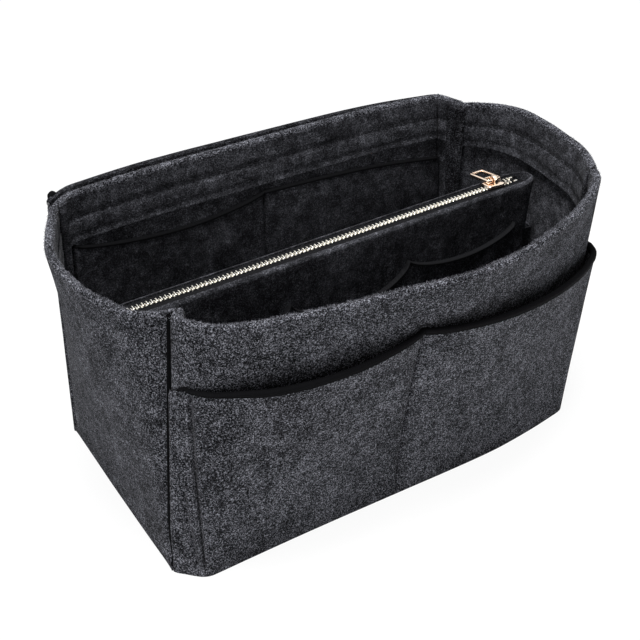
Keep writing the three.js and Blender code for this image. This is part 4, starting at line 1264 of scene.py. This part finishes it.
def make_pouch_shell():
    heights = np.arange(0, TOP_LEVEL + LEVEL_STEP, LEVEL_STEP, dtype=float)
    rise = np.clip((heights - INNER_FOOT) / (POUCH_TOP - INNER_FOOT), 0, 1)
    reach = mix(FELT + 2 * GAP, POUCH_TOP_HALF, rise)
    depth = reach + POUCH_BELLY * np.sin(math.pi * rise)
    straight = POUCH_HALF - reach
    side = []
    for i in range(POUCH_END_STEPS):
        angle = math.pi / 2 * i / POUCH_END_STEPS
        side.append(np.stack([-straight - reach * math.cos(angle), -depth * math.sin(angle)], -1))
    for i in range(POUCH_STEPS):
        side.append(np.stack([mix(-straight, straight, i / POUCH_STEPS), -depth], -1))
    for i in range(POUCH_END_STEPS):
        angle = math.pi / 2 * (POUCH_END_STEPS - i) / POUCH_END_STEPS
        side.append(np.stack([straight + reach * math.cos(angle), -depth * math.sin(angle)], -1))
    side = np.array(side)
    outline = np.concatenate([side, -side])
    past = smoothstep(outline[..., 0], straight, straight + reach)
    outline[..., 0] += POUCH_END_BULGE * past * rise**4
    return Shell(pouch_place(outline))


def make_pouch(shell, materials):
    count = len(shell.points) // 2
    levels = [(0, z) for z in np.linspace(INNER_FOOT, POUCH_TOP - POUCH_ROUND, 34)]
    for a in (0.25, 0.5, 0.75, 1.0, 1.25, 1.5):
        levels.append((POUCH_ROUND * (1 - math.cos(a)), POUCH_TOP - POUCH_ROUND * (1 - math.sin(a))))
    insets, heights = np.array(levels).T[:, None]
    for place, start in (("front", 0), ("back", count)):
        index = np.arange(start, start + count + 1)
        outer = shell.grid(index, heights, insets)
        inner = shell.grid(index, heights, np.full_like(insets, FELT))
        wall = add_slab(f"pouch_{place}_felt", outer, inner, materials.inner_felt, (SEAM_GAP / 2,) * 2)
        # The top rows take the lighter inside copy of the felt, so the lip shows lighter than the sides:
        # painted light along the lip
        rows = np.arange(len(wall.data.polygons)) % (len(levels) - 1)
        line_faces(wall, rows >= len(levels) - POUCH_LIP_ROWS, materials.lining)
        dress(wall, "felt", f"pouch_{place}_wall")
    # The slip pockets keep a 36th of the pouch's length clear at each end
    first = round(POUCH_END_STEPS + POUCH_STEPS / 36)
    last = round(POUCH_END_STEPS + POUCH_STEPS - POUCH_STEPS / 36)
    index = np.arange(first, last + 1)
    along = (index - first) / (last - first)
    cloth, cover = materials.inner_felt, materials.slip_binding
    add_pocket(shell, SLIP_POCKET, index, along, cloth, cover, taper=THIN_TAPE)


# Zip


def parted(x):
    """How far each half of the chain stands out from the closed zip."""
    return OPENING * smoothstep(x, SLIDER_REAR, SLIDER_FRONT)


def make_teeth(place, side, phase, materials):
    rings = []
    for y, wide, high in TOOTH_FORM:
        rings.append(np.insert(ring_section(wide * TOOTH_SLIMNESS, high), 1, y, axis=1))
    tooth = np.concatenate(rings)
    tooth_faces = np.array([f for f in loft_faces(len(rings), 12) if len(f) == 4])
    points, faces = [], []
    for i in range(TOOTH_COUNT):
        x = CHAIN_START + (i + phase) * PITCH + TOOTH_WIDTH / 2
        lean = TOOTH_LEAN * swell((x, side, 0), 3.1, 7)
        moved = tooth + (x, parted(x), CHAIN_MIDDLE)
        moved[:, 0] += lean * tooth[:, 1]
        moved[:, 1] *= side
        faces += (tooth_faces + i * len(tooth)).tolist()
        for end in (0, len(rings) - 1):
            cap = [i * len(tooth) + end * 12 + k for k in range(12)]
            faces.append(cap if end else cap[::-1])
        points.append(moved)
    faces = [f[::-1] for f in faces] if side < 0 else faces
    obj = add_mesh(f"zip_teeth_{place}_metal", pouch_place(np.concatenate(points)), faces, materials.teeth)
    dress(obj, "zip_metal", f"zip_teeth_{place}")


def make_tape(place, side, materials):
    end = POUCH_HALF - POUCH_TOP_HALF
    tip = end + TAPE_TIP
    xs = np.linspace(-tip, tip, TAPE_STEPS)
    halves = (TAPE_TIP_HALF, TAPE_HALF, TAPE_HALF, TAPE_TIP_HALF)
    outer_edge = np.interp(xs, (-tip, -end, end, tip), halves)
    beside = CHAIN_HALF + parted(xs)
    last_place, thin = TAPE_FORM[-1]
    rows = [(beside + reach, half, 0.0) for reach, half in TAPE_FORM]
    for share, half in ((0.55, thin), (1.0, 0.1)):
        rows.append((mix(beside + last_place, outer_edge, share), half, TAPE_SAG * share))

    def face(up):
        """The tape's side above or below its middle, for an up of 1 or -1."""
        level = TAPE_TOP - TAPE_THICKNESS / 2
        lines = [np.stack([xs, side * y, np.full_like(xs, level + up * h + z)], -1) for y, h, z in rows]
        return pouch_place(np.stack(lines, 1))

    tape = add_slab(f"zip_tape_{place}_woven", face(-side), face(side), materials.tape)
    dress(tape, "zip_tape", f"zip_tape_{place}")


def make_stop(name, x, y, half_deep, material):
    """A crimped metal stop round the edge of the tape."""
    rings = []
    for share, size in STOP_FORM:
        section = ring_section(half_deep * size, CHAIN_HEIGHT / 2 * size)
        ring = np.insert(section, 0, x + share * STOP_LENGTH / 2, axis=1)
        rings.append(ring + (0, y, CHAIN_MIDDLE))
    dress(add_loft(f"{name}_metal", pouch_place(np.array(rings)), material), "zip_metal", name)


def make_zip(materials):
    for place, side, phase in (("front", -1, 0.0), ("back", 1, 0.5)):
        make_teeth(place, side, phase, materials)
        make_tape(place, side, materials)
        across = side * (OPENING + CHAIN_HALF / 2 + GAP / 2)
        stop_x = CHAIN_END + GAP + STOP_LENGTH / 2
        make_stop(f"top_stop_{place}", stop_x, across, (CHAIN_HALF - GAP) / 2, materials.teeth)
    make_stop("bottom_stop", CHAIN_START - 2 * GAP - STOP_LENGTH / 2, 0, CHAIN_HALF, materials.teeth)


# Slider and puller


def bend(start, control, end, steps):
    """Points along a bent edge, its last point left to the next edge."""
    t = np.arange(steps)[:, None] / steps
    a, b, c = (np.array(p, float) for p in (start, control, end))
    return (1 - t) ** 2 * a + 2 * t * (1 - t) * b + t**2 * c


def slider_outline():
    half, rear = SLIDER_LENGTH / 2, SLIDER_HALF - SLIDER_REAR_IN
    shoulder, nose = half * SLIDER_SHOULDER, SLIDER_HALF * SLIDER_NOSE
    parts = (
        bend((-half, -rear), (0, -rear), (shoulder, -SLIDER_HALF), 10),
        bend((shoulder, -SLIDER_HALF), (half, -SLIDER_HALF), (half, -nose), 8),
        bend((half, -nose), (half * SLIDER_NOTCH, 0), (half, nose), 8),
        bend((half, nose), (half, SLIDER_HALF), (shoulder, SLIDER_HALF), 8),
        bend((shoulder, SLIDER_HALF), (0, rear), (-half, rear), 10),
        bend((-half, rear), (-half - 0.5, 0), (-half, -rear), 8),
    )
    return np.concatenate(parts)


def on_slider(rings):
    return pouch_place(np.array(rings) + (SLIDER_X, 0, 0))


def make_slider(materials):
    outline = slider_outline()
    rings = [np.column_stack([outline * scale, np.full(len(outline), z)]) for scale, z in PLATE_FORM]
    plate = add_loft("slider_crown", on_slider(rings), materials.gold, "slider", 60)
    dress(plate, "slider_metal", "slider_body")

    xs = np.linspace(-SLIDER_LENGTH / 2 + 0.2, SLIDER_LENGTH * 0.36, 14)
    widest = np.interp(xs, outline[:18, 0], -outline[:18, 1])
    low, high = SKIRT_LOW + 0.1, PLATE_LOW + 0.5
    for place, side in (("front", -1), ("back", 1)):
        rings = []
        for k, (x, wide) in enumerate(zip(xs, widest)):
            shrink = (0.7, 0.93, 1)[min(k, len(xs) - 1 - k, 2)]
            section = ring_section(SLIDER_WALL / 2 * shrink, (high - low) / 2 * shrink, 0.45)
            ring = np.insert(section, 0, x, axis=1)
            ring[:, 1] = side * (wide - SLIDER_WALL / 2 - 0.03 + ring[:, 1])
            ring[:, 2] += (high + low) / 2
            rings.append(ring)
        name = f"slider_skirt_{place}"
        skirt = add_loft(name, on_slider(rings), materials.gold, "slider", flip=side > 0)
        dress(skirt, "slider_metal")

    radius = BAIL_HOLE + BAIL_WALL / 2
    path = [(radius, PLATE_TOP - 0.5), (radius, PLATE_TOP + 0.6)]
    for a in np.linspace(0, math.pi, 15):
        path.append((radius * math.cos(a), PIVOT_HEIGHT + radius * math.sin(a)))
    path += [(-radius, PLATE_TOP + 0.6), (-radius, PLATE_TOP - 0.5)]
    section = ring_section(BAIL_WIDTH / 2, BAIL_WALL / 2 - 0.05, 0.7)
    rings = []
    for (y, z), (dy, dz) in zip(path, unit(np.gradient(np.array(path), axis=0))):
        rings.append(np.stack([section[:, 0], y + section[:, 1] * -dz, z + section[:, 1] * dy], -1))
    dress(add_loft("slider_bail", on_slider(rings), materials.gold, "slider"), "slider_metal")


def rounded_loop(half, low, high, corner, steps=6):
    """The middle line of a rectangular frame with rounded corners."""
    points = []
    for start, cy in ((-90, low + corner), (0, high - corner)):
        angles = np.radians(start + np.linspace(0, 90, steps + 1))
        points += [(half - corner + corner * math.cos(a), cy + corner * math.sin(a)) for a in angles]
    return np.array(points + [(-x, y) for x, y in points[::-1]])


def on_puller(rings):
    """From the flat puller to where it hangs from the bail."""
    c, s = math.cos(PULLER_DROOP), math.sin(PULLER_DROOP)
    x, y, z = np.moveaxis(np.array(rings), -1, 0)
    return pouch_place(np.stack([x + SLIDER_X, y * c + z * s, PIVOT_HEIGHT - y * s + z * c], -1))


def make_puller(materials):
    half_bar = PULLER_BAR / 2
    eye_end = half_bar + EYE_LENGTH
    far = eye_end + PULLER_CROSSBAR + WINDOW_LENGTH + PULLER_BAR
    loop = rounded_loop(PULLER_WIDTH / 2 - half_bar, 0, far - half_bar, PULLER_CORNER)
    along = unit(np.roll(loop, -1, 0) - np.roll(loop, 1, 0))
    section = ring_section(half_bar * PULLER_FULLNESS, PULLER_THICKNESS / 2 * PULLER_FULLNESS, 0.5)
    rings = []
    for (x, y), (dx, dy) in zip(loop, along):
        rings.append(np.stack([x + section[:, 0] * dy, y - section[:, 0] * dx, section[:, 1]], -1))
    piece = add_loft("puller_frame", on_puller(rings), materials.gold, "puller", closed=True, flip=True)
    dress(piece, "slider_metal", "puller")

    middle = eye_end + PULLER_CROSSBAR / 2
    inside = PULLER_WIDTH / 2 - half_bar
    section = ring_section(PULLER_CROSSBAR / 2, PULLER_THICKNESS / 2 - 0.1, 0.36)
    rings = [np.insert(section + (middle, 0), 0, x, axis=1) for x in np.linspace(-inside, inside, 7)]
    dress(add_loft("puller_crossbar", on_puller(rings), materials.gold, "puller"), "slider_metal")


# End tabs of the pouch


def make_tabs(walls, materials):
    """Strips of felt that hold the pouch to the end walls, each with a foot sewn flat to the wall."""
    heights = np.linspace(TAB_LOW, POUCH_TOP - TAB_DROP, 22)
    size, width = TAB_SWAY
    for place, side in (("left", -1), ("right", 1)):
        wall = WALLS[place]
        index = np.arange(wall.first, wall.last + 1)
        inner = walls.grid(index, heights[None], np.full((1, len(heights)), FELT))
        x0 = POUCH_SHIFT[0] + side * (POUCH_HALF + GAP)
        y0 = POUCH_SHIFT[1] + side * POUCH_HALF * POUCH_TURN
        near, far = [], []
        for k, height in enumerate(heights):
            wall_y, wall_x = inner[np.argsort(inner[:, k, 1]), k, 1::-1].T

            def face_x(y):
                return np.interp(y, wall_y, wall_x) - side * GAP

            low = y0 - TAB_THICKNESS / 2 + width * swell((0, 0, height), size, side)
            high, foot = low + TAB_THICKNESS, low + TAB_FOOT
            ys = np.linspace(low, foot, 9)[1:]
            crossing = np.linspace(x0, face_x(low) - side * 0.6, 6)
            back = np.linspace(x0, face_x(high) - side * TAB_THICKNESS, 6)
            outer = [(x, low) for x in crossing] + [(face_x(y), y) for y in ys]
            inner_side = [(x, high) for x in back]
            inner_side += [(face_x(max(y, high)) - side * TAB_THICKNESS, max(y, high + 0.1)) for y in ys]
            near.append([(x, y, height) for x, y in outer])
            far.append([(x, y, height) for x, y in inner_side])
        near, far = (np.array(rows).transpose(1, 0, 2) for rows in (near, far))
        if side < 0:
            near, far = far, near
        tab = add_slab(f"pouch_tab_{place}_felt", near, far, materials.inner_felt)
        dress(tab, "felt", f"pouch_tab_{place}")


def main():
    materials = make_materials()
    make_stage()
    walls = make_walls_shell()
    for name in WALLS:
        make_wall(walls, name, materials)
    make_base(walls, materials)
    make_front_pocket(walls, materials)
    make_back_pockets(walls, materials)
    make_seam_covers(walls, materials)
    make_groove_shadow(walls, materials)
    make_flat_tape(walls, materials)
    make_pouch(make_pouch_shell(), materials)
    make_zip(materials)
    make_slider(materials)
    make_puller(materials)
    make_tabs(walls, materials)


main()
